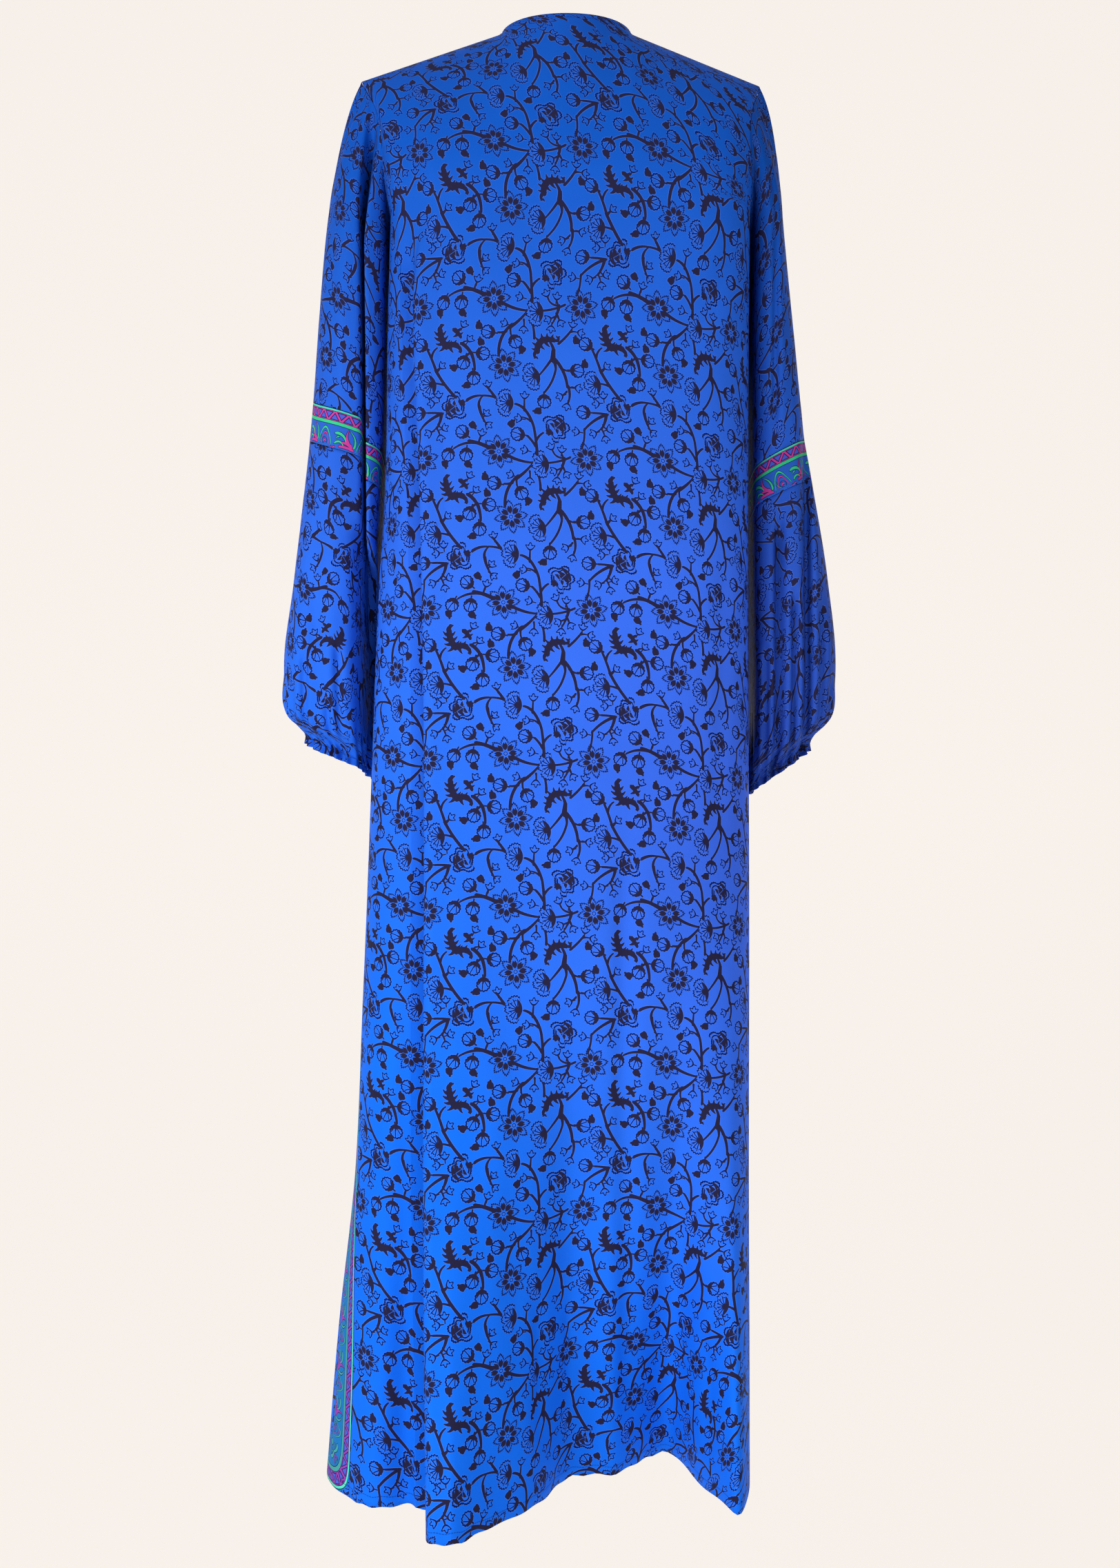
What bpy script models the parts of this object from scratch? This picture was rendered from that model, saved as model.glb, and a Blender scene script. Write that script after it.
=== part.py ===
"""Hollow, worn kaftan maxi dress with long balloon sleeves.

Metres, +Z up, the garment's front faces -Y and its left side is +X. The origin lies between the two neck
points, where the shoulders of the wearer hold the dress. Every cloth piece is a thin closed wall.
"""
import math
from collections import namedtuple

import bmesh
import bpy
import numpy as np

CLOTH = 0.0012
SEAM_GAP = 0.0003
SLANTED_GAP = 0.0004

# Heights and half widths of the cut
UNDERARM_Z = -0.185
HEM_Z = -1.346
NECK_X = -0.006
NECK_HALF = 0.061
NECK_BACK_DEPTH = 0.055
NECK_BACK_DROP = 0.005
NECK_FULLNESS = 0.65
NECKLINE_DEPTH = 0.190
NECKLINE_FORWARD = 0.106
TIP_LEFT = 0.187
TIP_RIGHT = -0.188
LEFT_SHOULDER_SLOPE = 0.340
RIGHT_SHOULDER_SLOPE = 0.408

# The armhole: how far it cuts into each side, and how full the form is between underarm and shoulder
ARMHOLE_TURN = math.radians(25.0)
SHOULDER_ARC = math.radians(62.0)

# The front rows dip under the neckline, and the dip fades out below it
NECKLINE_DIP = 0.095
NECKLINE_SPREAD = 0.085
NECKLINE_FADE = 0.330

# Cells of the grids
ROWS_BELOW = 14
ROWS_ABOVE = 10
RIDGE_FOOT_X = 0.126
RIDGE_CREST_X = 0.108
LEFT_NECK_X = 0.045
RIGHT_NECK_X = -0.063
BACK_STOPS = (RIDGE_FOOT_X, RIDGE_CREST_X, LEFT_NECK_X, RIGHT_NECK_X)
BACK_CELLS = (7, 2, 5, 10, 16)
FRONT_STOPS = (LEFT_NECK_X, RIGHT_NECK_X)
FRONT_CELLS = (12, 12, 12)
UPPER_SLEEVE_ROWS = 7
LOWER_SLEEVE_ROWS = 9
SLEEVE_HALF_CELLS = 2 * ROWS_ABOVE
DENSE = 720

# Half steps over which the direction of the body form is measured
TURN_STEP = 0.004
LEVEL_STEP = 0.002

# One row for each level of the body form. left and right are the side edges, back and front the depths,
# square the power of the rounded outline, and seam the turn of each side seam towards the back, in degrees.
Level = namedtuple("Level", "z left right back front square seam_left seam_right")
BODY = (
    Level(-0.185, 0.157, -0.176, 0.098, 0.098, 4.2, 0.0, 0.0),
    Level(-0.300, 0.161, -0.176, 0.106, 0.122, 3.2, 0.0, 0.0),
    Level(-0.420, 0.163, -0.176, 0.105, 0.116, 3.0, 1.0, 0.0),
    Level(-0.540, 0.170, -0.176, 0.106, 0.112, 2.9, 2.0, 0.0),
    Level(-0.700, 0.176, -0.176, 0.112, 0.118, 2.8, 3.0, 0.0),
    Level(-0.900, 0.184, -0.176, 0.116, 0.130, 2.8, 8.0, 0.0),
    Level(-1.070, 0.192, -0.176, 0.118, 0.145, 2.9, 18.0, -2.0),
    Level(-1.210, 0.206, -0.176, 0.119, 0.160, 3.0, 32.5, -4.0),
    Level(-1.346, 0.216, -0.175, 0.120, 0.176, 3.0, 37.0, -6.0),
)

# One row for each fold of the skirt: where it lies across the body, how far it stands out at the hem (a
# trough is negative), its widths to the left and the right, the height where it starts and how it grows.
Fold = namedtuple("Fold", "x depth toward_left toward_right start growth")
BACK_FOLDS = (
    Fold(0.170, 0.012, 0.018, 0.022, -0.900, 2.0),
    Fold(0.107, 0.060, 0.0125, 0.050, -0.620, 1.9),
    Fold(0.104, 0.014, 0.013, 0.050, -0.190, 0.7),
    Fold(0.136, -0.010, 0.014, 0.012, -0.240, 1.0),
    Fold(-0.014, -0.072, 0.030, 0.042, -0.700, 2.0),
    Fold(-0.101, -0.132, 0.050, 0.026, -0.760, 2.2),
    Fold(-0.160, 0.078, 0.016, 0.022, -0.800, 2.0),
)
FRONT_FOLDS = (
    Fold(0.150, 0.030, 0.022, 0.026, -0.560, 1.8),
    Fold(0.092, -0.044, 0.030, 0.030, -0.520, 1.8),
    Fold(0.022, 0.040, 0.034, 0.026, -0.380, 1.6),
    Fold(-0.044, -0.040, 0.026, 0.028, -0.600, 1.9),
    Fold(-0.108, 0.034, 0.026, 0.034, -0.480, 1.7),
)

# One row for each ring of a sleeve, at its outer (z_out, x_out) and inner (z_in, x_in) side of the arm
Ring = namedtuple("Ring", "z_out z_in x_out x_in y_mid half_depth")
LEFT_RINGS = (
    Ring(-0.044, -0.185, 0.187, 0.158, 0.000, 0.050),
    Ring(-0.075, -0.203, 0.202, 0.160, -0.004, 0.056),
    Ring(-0.163, -0.250, 0.2185, 0.1625, -0.014, 0.060),
    Ring(-0.260, -0.330, 0.229, 0.1645, -0.025, 0.064),
    Ring(-0.338, -0.412, 0.2355, 0.167, -0.032, 0.068),
    Ring(-0.375, -0.446, 0.239, 0.169, -0.034, 0.070),
    Ring(-0.507, -0.568, 0.255, 0.176, -0.040, 0.076),
    Ring(-0.595, -0.645, 0.265, 0.179, -0.044, 0.078),
    Ring(-0.635, -0.680, 0.262, 0.180, -0.045, 0.068),
    Ring(-0.658, -0.699, 0.244, 0.181, -0.045, 0.042),
    Ring(-0.665, -0.706, 0.245, 0.180, -0.045, 0.044),
)
RIGHT_RINGS = (
    Ring(-0.048, -0.185, 0.188, 0.177, 0.000, 0.050),
    Ring(-0.079, -0.200, 0.202, 0.180, -0.004, 0.056),
    Ring(-0.165, -0.240, 0.210, 0.181, -0.014, 0.060),
    Ring(-0.280, -0.335, 0.222, 0.181, -0.025, 0.065),
    Ring(-0.379, -0.418, 0.2335, 0.182, -0.032, 0.069),
    Ring(-0.417, -0.455, 0.240, 0.182, -0.034, 0.071),
    Ring(-0.510, -0.552, 0.256, 0.183, -0.040, 0.077),
    Ring(-0.608, -0.654, 0.2635, 0.184, -0.044, 0.080),
    Ring(-0.643, -0.691, 0.259, 0.184, -0.045, 0.068),
    Ring(-0.667, -0.712, 0.240, 0.185, -0.045, 0.042),
    Ring(-0.674, -0.719, 0.241, 0.184, -0.045, 0.044),
)
BAND_TOP = 4
BAND_BOTTOM = 5
CUFF_TOP = 9
CUFF_EDGE = 10

# One row for each lengthwise fold of a sleeve: its place across the sleeve, on the back or the front, its
# depth and half width, and the heights of the outer side between which it shows
SleeveFold = namedtuple("SleeveFold", "x face depth width top bottom")
LEFT_SLEEVE_FOLDS = (
    SleeveFold(0.184, 1, 0.036, 0.008, -0.060, -0.560),
    SleeveFold(0.180, 1, 0.040, 0.011, -0.400, -0.720),
    SleeveFold(0.226, 1, 0.006, 0.012, -0.420, -0.680),
    SleeveFold(0.206, -1, 0.020, 0.010, -0.090, -0.690),
)
RIGHT_SLEEVE_FOLDS = (
    SleeveFold(0.229, 1, 0.012, 0.008, -0.350, -0.700),
    SleeveFold(0.203, 1, 0.009, 0.008, -0.430, -0.700),
    SleeveFold(0.207, -1, 0.020, 0.010, -0.090, -0.700),
)
# Shares of its length over which a sleeve fold comes in and goes out, and its greatest share of the depth
FOLD_ENTRY = 0.18
FOLD_EXIT = 0.10
DEEPEST_FOLD = 0.75

# The head of the sleeve grows out of the armhole over this height, slightly gathered, as the cuff is
HEAD_BLEND = 0.110
HEAD_PUFF = 0.0015
CUFF_GATHER = 0.0018
GATHER_START = -0.560

CLOTH_BLUE = (0.030, 0.130, 0.720, 1.0)
BAND_GREEN = (0.050, 0.520, 0.300, 1.0)
CLOTH_ROUGHNESS = 0.55
SLEEVE_PIECES = (
    ("upper_sleeve", CLOTH_BLUE),
    ("elbow_band", BAND_GREEN),
    ("lower_sleeve", CLOTH_BLUE),
    ("cuff", CLOTH_BLUE),
)


def smooth_step(value):
    """Ease from 0 to 1 with level ends."""
    value = np.clip(value, 0.0, 1.0)
    return value * value * (3.0 - 2.0 * value)


def signed_power(value, power):
    """Power of the size of a value that keeps its sign."""
    return np.sign(value) * np.abs(value) ** power


def read_table(table, key, name, at):
    """Column of a table at any place of its key column, on a smooth curve through the rows."""
    keys = np.array([getattr(row, key) for row in table])
    values = np.array([getattr(row, name) for row in table])
    order = np.argsort(keys)
    keys = keys[order]
    values = values[order]
    slopes = np.gradient(values, keys)
    at = np.asarray(at, dtype=float)
    low = np.clip(np.searchsorted(keys, at) - 1, 0, len(keys) - 2)
    span = keys[low + 1] - keys[low]
    t = np.clip((at - keys[low]) / span, 0.0, 1.0)
    start = (1.0 + 2.0 * t) * (1.0 - t) ** 2 * values[low] + t * (1.0 - t) ** 2 * span * slopes[low]
    end = t * t * (3.0 - 2.0 * t) * values[low + 1] + t * t * (t - 1.0) * span * slopes[low + 1]
    return start + end


def fold_height(folds, x, z):
    """How far the folds of a table stand out at a place across the body and a height."""
    total = np.zeros(np.broadcast(x, z).shape)
    for fold in folds:
        grown = np.clip((fold.start - z) / (fold.start - HEM_Z), 0.0, None) ** fold.growth
        width = np.where(x > fold.x, fold.toward_left, fold.toward_right)
        total = total + fold.depth * grown * np.exp(-(((x - fold.x) / width) ** 2))
    return total


def body_outline(theta, z):
    """Point of the level outline at an angle, 0 at the left side, a quarter turn at the back."""
    left = read_table(BODY, "z", "left", z)
    right = read_table(BODY, "z", "right", z)
    power = 2.0 / read_table(BODY, "z", "square", z)
    x = 0.5 * (left + right) + 0.5 * (left - right) * signed_power(np.cos(theta), power)
    at_back = np.sin(theta) >= 0.0
    depth = np.where(at_back, read_table(BODY, "z", "back", z), read_table(BODY, "z", "front", z))
    rise = signed_power(np.sin(theta), power)
    folds = np.where(at_back, fold_height(BACK_FOLDS, x, z), -fold_height(FRONT_FOLDS, x, z))
    return x, depth * rise + folds * np.abs(rise)


def top_edge(x_ring, face):
    """Shoulder and neck edge above a place of the underarm outline, on the back (1) or the front (-1)."""
    lowest = BODY[0]
    left_scale = (TIP_LEFT - NECK_X) / (lowest.left - NECK_X)
    right_scale = (TIP_RIGHT - NECK_X) / (lowest.right - NECK_X)
    x = NECK_X + (x_ring - NECK_X) * np.where(x_ring > NECK_X, left_scale, right_scale)
    from_neck = np.abs(x - NECK_X)
    run = np.clip(from_neck - NECK_HALF, 0.0, None)
    slope = np.where(x > NECK_X, LEFT_SHOULDER_SLOPE, RIGHT_SHOULDER_SLOPE)
    inward = np.clip(1.0 - from_neck / NECK_HALF, 0.0, 1.0)
    bow = np.clip(1.0 - (1.0 - inward) ** 2, 0.0, 1.0) ** NECK_FULLNESS
    depth = np.where(face > 0, NECK_BACK_DEPTH, NECKLINE_FORWARD)
    drop = np.where(face > 0, NECK_BACK_DROP * bow ** 2, NECKLINE_DEPTH * inward)
    y = face * (0.5 * SEAM_GAP + depth * bow)
    z = -slope * run - drop
    return x, y, z


def torso(theta, level):
    """Point of the body form, level -1 at the hem, 0 at the underarm and 1 at the shoulder line."""
    theta, level = np.broadcast_arrays(np.asarray(theta, float), np.asarray(level, float))
    face = np.where(np.sin(theta) >= 0.0, 1.0, -1.0)
    z = UNDERARM_Z + np.minimum(level, 0.0) * (UNDERARM_Z - HEM_Z)
    x, y = body_outline(theta, z)
    near_neckline = np.exp(-(((x - NECK_X) / NECKLINE_SPREAD) ** 2))
    fade = 1.0 - smooth_step((UNDERARM_Z - z) / NECKLINE_FADE)
    z = np.where(face < 0, z - NECKLINE_DIP * near_neckline * fade, z)
    x, y = body_outline(theta, z)
    top_x, top_y, top_z = top_edge(x, face)
    arc = np.maximum(level, 0.0) * SHOULDER_ARC
    rise = np.sin(arc) / math.sin(SHOULDER_ARC)
    drawn_in = (1.0 - np.cos(arc)) / (1.0 - math.cos(SHOULDER_ARC))
    points_x = x + (top_x - x) * rise
    points_y = y + (top_y - y) * drawn_in
    points_z = z + (top_z - z) * rise
    return np.stack([points_x, points_y, points_z], axis=-1)


def torso_normal(theta, level):
    """Outward direction of the body form."""
    along = torso(theta + TURN_STEP, level) - torso(theta - TURN_STEP, level)
    up = torso(theta, level + LEVEL_STEP) - torso(theta, level - LEVEL_STEP)
    normal = np.cross(along, up)
    return normal / np.linalg.norm(normal, axis=-1, keepdims=True)


def lengths_along(points):
    """Running length along a line of points."""
    return np.concatenate([[0.0], np.cumsum(np.linalg.norm(np.diff(points, axis=0), axis=1))])


def row_angles(face, level, stops, cells):
    """Angles of the vertices of one panel row, evenly spaced in length between the seams and the stops."""
    z = UNDERARM_Z + min(level, 0.0) * (UNDERARM_Z - HEM_Z)
    cut = ARMHOLE_TURN * max(math.sin(math.pi * max(level, 0.0)), 0.0)
    left_seam = math.radians(float(read_table(BODY, "z", "seam_left", z)))
    right_seam = math.radians(float(read_table(BODY, "z", "seam_right", z)))
    start = left_seam + face * cut
    end = face * math.pi - right_seam - face * cut
    theta = np.linspace(start, end, DENSE)
    run = lengths_along(torso(theta, level))
    ring_x, _ = body_outline(theta, z)
    marks = np.interp(-np.array(stops), -ring_x, run)
    marks = np.concatenate([[run[0] + 0.5 * SEAM_GAP], marks, [run[-1] - 0.5 * SEAM_GAP]])
    at = [marks[:1]]
    for part, count in enumerate(cells):
        at.append(np.linspace(marks[part], marks[part + 1], count + 1)[1:])
    return np.interp(np.concatenate(at), run, theta)


def panel_grid(face, stops, cells):
    """Outer and inner points of a body panel, a row for each level from the hem to the shoulder line."""
    below = np.linspace(-1.0, 0.0, ROWS_BELOW + 1)
    above = np.linspace(0.0, 1.0, ROWS_ABOVE + 1)[1:]
    outer = []
    inner = []
    for level in np.concatenate([below, above]):
        theta = row_angles(face, level, stops, cells)
        points = torso(theta, level)
        normal = torso_normal(theta, level)
        if level == 1.0:
            at_shoulder = np.abs(points[:, 0] - NECK_X) > NECK_HALF - CLOTH
            normal[at_shoulder, :2] = 0.0
            normal[at_shoulder, 2] = 1.0
        outer.append(points)
        inner.append(points - CLOTH * normal)
    return np.array(outer), np.array(inner)


def armhole(back, front, side):
    """Closed ring on an armhole, from the underarm over the back to the shoulder tip and down the front."""
    column = 0 if side > 0 else -1
    back_edge = back[ROWS_BELOW:, column]
    front_edge = front[ROWS_BELOW:, column]
    under = 0.5 * (back_edge[0] + front_edge[0])
    tip = 0.5 * (back_edge[-1] + front_edge[-1])
    corners = np.vstack([[under], back_edge[1:-1], [tip], front_edge[-2:0:-1]])
    halves = 0.5 * (corners + np.roll(corners, -1, axis=0))
    ring = np.stack([corners, halves], axis=1).reshape(-1, 3)
    ring[:, 0] += side * SEAM_GAP
    return ring


def sleeve_fold_depth(folds, x, face, z_out):
    """Depth of the lengthwise troughs of a sleeve at a place across it."""
    total = np.zeros_like(x)
    for fold in folds:
        if fold.face != face:
            continue
        length = fold.top - fold.bottom
        begun = smooth_step((fold.top - z_out) / (FOLD_ENTRY * length))
        ended = smooth_step((z_out - fold.bottom) / (FOLD_EXIT * length))
        total += fold.depth * begun * ended * np.exp(-(((x - fold.x) / fold.width) ** 2))
    return total


def sleeve_ring(rings, folds, side, z_out):
    """Ring of a sleeve, from its inner side over the back to the outer side and along the front."""
    z_in = float(read_table(rings, "z_out", "z_in", z_out))
    x_out = float(read_table(rings, "z_out", "x_out", z_out))
    x_in = float(read_table(rings, "z_out", "x_in", z_out))
    y_mid = float(read_table(rings, "z_out", "y_mid", z_out))
    half_depth = float(read_table(rings, "z_out", "half_depth", z_out))
    turn = np.linspace(0.0, math.pi, DENSE)
    x = x_in + (x_out - x_in) * 0.5 * (1.0 - np.cos(turn))
    fall = np.linspace(z_in, z_out, SLEEVE_HALF_CELLS + 1)
    halves = []
    for face in (1, -1):
        depth = np.minimum(sleeve_fold_depth(folds, x, face, z_out), DEEPEST_FOLD * half_depth)
        reach = (half_depth - depth) * np.sin(turn)
        line = np.stack([x, y_mid + face * reach], axis=1)
        run = lengths_along(line)
        at = np.linspace(0.0, run[-1], SLEEVE_HALF_CELLS + 1)
        across = np.interp(at, run, line[:, 0])
        deep = np.interp(at, run, line[:, 1])
        halves.append(np.stack([across, deep, fall], axis=1))
    ring = np.vstack([halves[0][:-1], halves[1][:0:-1]])
    gather = CUFF_GATHER * smooth_step((GATHER_START - z_out) / (GATHER_START - rings[CUFF_TOP].z_out))
    spokes = ring[:, :2] - np.array([0.5 * (x_in + x_out), y_mid])
    spokes /= np.linalg.norm(spokes, axis=1, keepdims=True)
    ring[:, :2] += gather * alternating(len(ring))[:, None] * spokes
    ring[:, 0] *= side
    return ring


def alternating(count):
    """Signs that change from one vertex to the next."""
    return np.where(np.arange(count) % 2 == 0, 1.0, -1.0)


def sleeve_heights(rings):
    """Outer heights of all rows of a sleeve, and the row of each seam."""
    spans = ((0, BAND_TOP, UPPER_SLEEVE_ROWS), (BAND_TOP, BAND_BOTTOM, 1),
             (BAND_BOTTOM, CUFF_TOP, LOWER_SLEEVE_ROWS), (CUFF_TOP, CUFF_EDGE, 1))
    heights = [rings[0].z_out]
    seams = [0]
    for first, last, cells in spans:
        heights.extend(np.linspace(rings[first].z_out, rings[last].z_out, cells + 1)[1:])
        seams.append(len(heights) - 1)
    return heights, seams


def sleeve_grid(rings, folds, side, head):
    """Outer and inner points of a whole sleeve, blended out of the armhole, and the row of each seam."""
    heights, seams = sleeve_heights(rings)
    count = len(head)
    near_tip = np.clip(-np.cos(2.0 * math.pi * np.arange(count) / count), 0.0, None)
    rows = []
    for z_out in heights:
        share = float(smooth_step((rings[0].z_out - z_out) / HEAD_BLEND))
        ring = head + (sleeve_ring(rings, folds, side, z_out) - head) * share
        ring[:, 0] += side * HEAD_PUFF * 4.0 * share * (1.0 - share) * alternating(count) * near_tip
        rows.append(ring)
    outer = np.array(rows)
    around = np.roll(outer, -1, axis=1) - np.roll(outer, 1, axis=1)
    normal = np.cross(around, np.gradient(outer, axis=0)) * side
    normal /= np.linalg.norm(normal, axis=-1, keepdims=True)
    inner = outer - CLOTH * normal
    inward = head.mean(axis=0) - head
    inward[:, 0] = 0.0
    inner[0] = outer[0] + CLOTH * inward / np.linalg.norm(inward, axis=1, keepdims=True)
    return outer, inner, seams


def cloth_material(name, colour):
    """Plain cloth finish."""
    material = bpy.data.materials.new(name)
    material.use_nodes = True
    shader = material.node_tree.nodes["Principled BSDF"]
    shader.inputs["Base Color"].default_value = colour
    shader.inputs["Roughness"].default_value = CLOTH_ROUGHNESS
    shader.inputs["Metallic"].default_value = 0.0
    material.diffuse_color = colour
    return material


def add_wall(name, outer, inner, closed, material):
    """Closed wall between two grids of points, as a panel or as a tube that closes around.

    Both sides of the wall are split along the same diagonals, so it keeps its thickness where it is twisted.
    """
    rows, columns = outer.shape[:2]
    count = rows * columns
    wrap = columns if closed else columns - 1
    faces = []
    for row in range(rows - 1):
        for column in range(wrap):
            a = row * columns + column
            b = row * columns + (column + 1) % columns
            c = b + columns
            d = a + columns
            faces.append((a, b, c))
            faces.append((a, c, d))
            faces.append((count + c, count + b, count + a))
            faces.append((count + d, count + c, count + a))
    for column in range(wrap):
        a = column
        b = (column + 1) % columns
        faces.append((b, a, count + a, count + b))
        a += (rows - 1) * columns
        b += (rows - 1) * columns
        faces.append((a, b, count + b, count + a))
    if not closed:
        for row in range(rows - 1):
            a = row * columns
            b = a + columns
            faces.append((a, b, count + b, count + a))
            a += columns - 1
            b += columns - 1
            faces.append((b, a, count + a, count + b))
    mesh = bpy.data.meshes.new(name)
    points = np.vstack([outer.reshape(-1, 3), inner.reshape(-1, 3)])
    mesh.from_pydata(points.tolist(), [], faces)
    work = bmesh.new()
    work.from_mesh(mesh)
    bmesh.ops.recalc_face_normals(work, faces=work.faces)
    work.to_mesh(mesh)
    work.free()
    mesh.shade_smooth()
    mesh.materials.append(material)
    piece = bpy.data.objects.new(name, mesh)
    bpy.context.collection.objects.link(piece)
    return piece


def add_sleeve(word, rings, folds, side, head):
    """The four pieces of one sleeve, from the armhole down."""
    outer, inner, seams = sleeve_grid(rings, folds, side, head)
    for number, (piece, colour) in enumerate(SLEEVE_PIECES):
        first = seams[number]
        last = seams[number + 1]
        walls = [outer[first:last + 1].copy(), inner[first:last + 1].copy()]
        for wall in walls:
            if number > 0:
                wall[0, :, 2] -= 0.5 * SLANTED_GAP
            if number < len(SLEEVE_PIECES) - 1:
                wall[-1, :, 2] += 0.5 * SLANTED_GAP
        name = word + "_" + piece
        add_wall(name, walls[0], walls[1], True, cloth_material(name + "_cloth", colour))


def main():
    """Clear the scene and build every piece of the dress."""
    for old in list(bpy.data.objects):
        bpy.data.objects.remove(old, do_unlink=True)
    back_outer, back_inner = panel_grid(1, BACK_STOPS, BACK_CELLS)
    front_outer, front_inner = panel_grid(-1, FRONT_STOPS, FRONT_CELLS)
    add_wall("back_panel", back_outer, back_inner, False, cloth_material("back_cloth", CLOTH_BLUE))
    add_wall("front_panel", front_outer, front_inner, False, cloth_material("front_cloth", CLOTH_BLUE))
    left_head = armhole(back_outer, front_outer, 1)
    right_head = armhole(back_outer, front_outer, -1)
    add_sleeve("left", LEFT_RINGS, LEFT_SLEEVE_FOLDS, 1, left_head)
    add_sleeve("right", RIGHT_RINGS, RIGHT_SLEEVE_FOLDS, -1, right_head)


if __name__ == "__main__":
    main()
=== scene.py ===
"""Long printed kaftan dress, worn form seen from behind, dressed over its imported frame.

Metres, +Z up. The garment's front faces -Y, its left side is +X and the origin lies between the neck points.
Every cloth piece is a thin closed shell whose points are worked out from named sizes and short tables.
"""

import logging
import math
from collections.abc import Iterator
from dataclasses import dataclass, field, replace
from enum import Enum
from functools import partialmethod, reduce
from typing import NamedTuple

import bpy
import numpy as np
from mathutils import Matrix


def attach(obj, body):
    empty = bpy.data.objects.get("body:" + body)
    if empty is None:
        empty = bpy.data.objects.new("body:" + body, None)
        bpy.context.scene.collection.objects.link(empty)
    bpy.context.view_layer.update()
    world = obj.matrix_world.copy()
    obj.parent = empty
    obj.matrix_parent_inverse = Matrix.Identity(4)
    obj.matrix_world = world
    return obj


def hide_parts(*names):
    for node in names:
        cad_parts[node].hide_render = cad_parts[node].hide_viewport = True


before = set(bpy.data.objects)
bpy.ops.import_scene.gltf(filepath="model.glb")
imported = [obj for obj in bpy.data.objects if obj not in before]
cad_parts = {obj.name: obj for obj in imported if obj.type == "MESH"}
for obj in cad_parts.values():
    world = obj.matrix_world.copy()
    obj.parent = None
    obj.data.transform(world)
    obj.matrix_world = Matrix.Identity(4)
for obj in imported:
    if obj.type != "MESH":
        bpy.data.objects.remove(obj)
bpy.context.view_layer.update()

Array = np.ndarray
Pair = tuple[float, float]
Colour = tuple[float, float, float]
Socket = bpy.types.NodeSocket
Tree = bpy.types.NodeTree
Value = float | Socket
Triple = tuple[float, float, float] | Socket
TileNumber = tuple[int, int]
Row = tuple[float, ...]
log = logging.getLogger("kaftan")

MILLIMETRES = 1000.0
CREASE_WAVER = 0.12
CREASE_EASE = 0.25
CREASE_END = 1.06


def tabled(kind: type[NamedTuple], *table: Row) -> tuple[NamedTuple, ...]:
    """Rows of a table with named columns."""
    return tuple(kind(*row) for row in table)


class Face(Enum):
    """Half of the body that a panel covers, with the sign of its Y direction."""

    BACK = 1
    FRONT = -1


class Side(Enum):
    """Side of the wearer, with the sign of its X direction."""

    LEFT = 1
    RIGHT = -1


class Level(NamedTuple):
    """One level of the body form: side edges, depths, squareness and each side seam's turn in degrees."""

    z: float
    left: float
    right: float
    back: float
    front: float
    square: float
    seam_left: float
    seam_right: float


class Fold(NamedTuple):
    """A fold of the skirt: place across, depth at the hem, widths to both sides, start height and growth."""

    x: float
    depth: float
    toward_left: float
    toward_right: float
    start: float
    growth: float


class Crease(NamedTuple):
    """A soft crease between two places of a panel, with its depth (a ridge is negative) and half width."""

    x_top: float
    z_top: float
    x_foot: float
    z_foot: float
    depth: float
    width: float


class Ring(NamedTuple):
    """One ring of a sleeve at its outer and inner side, with its middle and half depth."""

    z_out: float
    z_in: float
    x_out: float
    x_in: float
    y_mid: float
    half_depth: float


class SleeveFold(NamedTuple):
    """A lengthwise trough of a sleeve: place across, face, depth, half width, and its upper and lower end."""

    x: float
    face: int
    depth: float
    width: float
    top: float
    bottom: float


BODY_LEVELS = tabled(Level,
    (-0.185, 0.157, -0.176, 0.098, 0.098, 4.2, 0.0, 0.0),
    (-0.300, 0.161, -0.176, 0.106, 0.122, 3.2, 0.0, 0.0),
    (-0.420, 0.163, -0.176, 0.105, 0.116, 3.0, 1.0, 0.0),
    (-0.540, 0.170, -0.176, 0.106, 0.112, 2.9, 2.0, 0.0),
    (-0.700, 0.176, -0.176, 0.112, 0.118, 2.8, 3.0, 0.0),
    (-0.900, 0.184, -0.176, 0.116, 0.130, 2.8, 8.0, 0.0),
    (-1.070, 0.192, -0.176, 0.118, 0.145, 2.9, 18.0, -2.0),
    (-1.210, 0.206, -0.176, 0.119, 0.160, 3.0, 32.5, -4.0),
    (-1.346, 0.216, -0.175, 0.120, 0.176, 3.0, 37.0, -6.0),
)
BACK_FOLDS = tabled(Fold,
    (0.170, 0.012, 0.018, 0.022, -0.900, 2.0), (0.107, 0.060, 0.0125, 0.050, -0.620, 1.9),
    (0.104, 0.014, 0.013, 0.050, -0.190, 0.7), (0.136, -0.010, 0.014, 0.012, -0.240, 1.0),
    (-0.014, -0.072, 0.030, 0.042, -0.700, 2.0), (-0.101, -0.132, 0.050, 0.026, -0.760, 2.2),
    (-0.160, 0.078, 0.016, 0.022, -0.800, 2.0),
)
FRONT_FOLDS = tabled(Fold,
    (0.150, 0.030, 0.022, 0.026, -0.560, 1.8), (0.092, -0.044, 0.030, 0.030, -0.520, 1.8),
    (0.022, 0.040, 0.034, 0.026, -0.380, 1.6), (-0.044, -0.040, 0.026, 0.028, -0.600, 1.9),
    (-0.108, 0.034, 0.026, 0.034, -0.480, 1.7),
)
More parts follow.
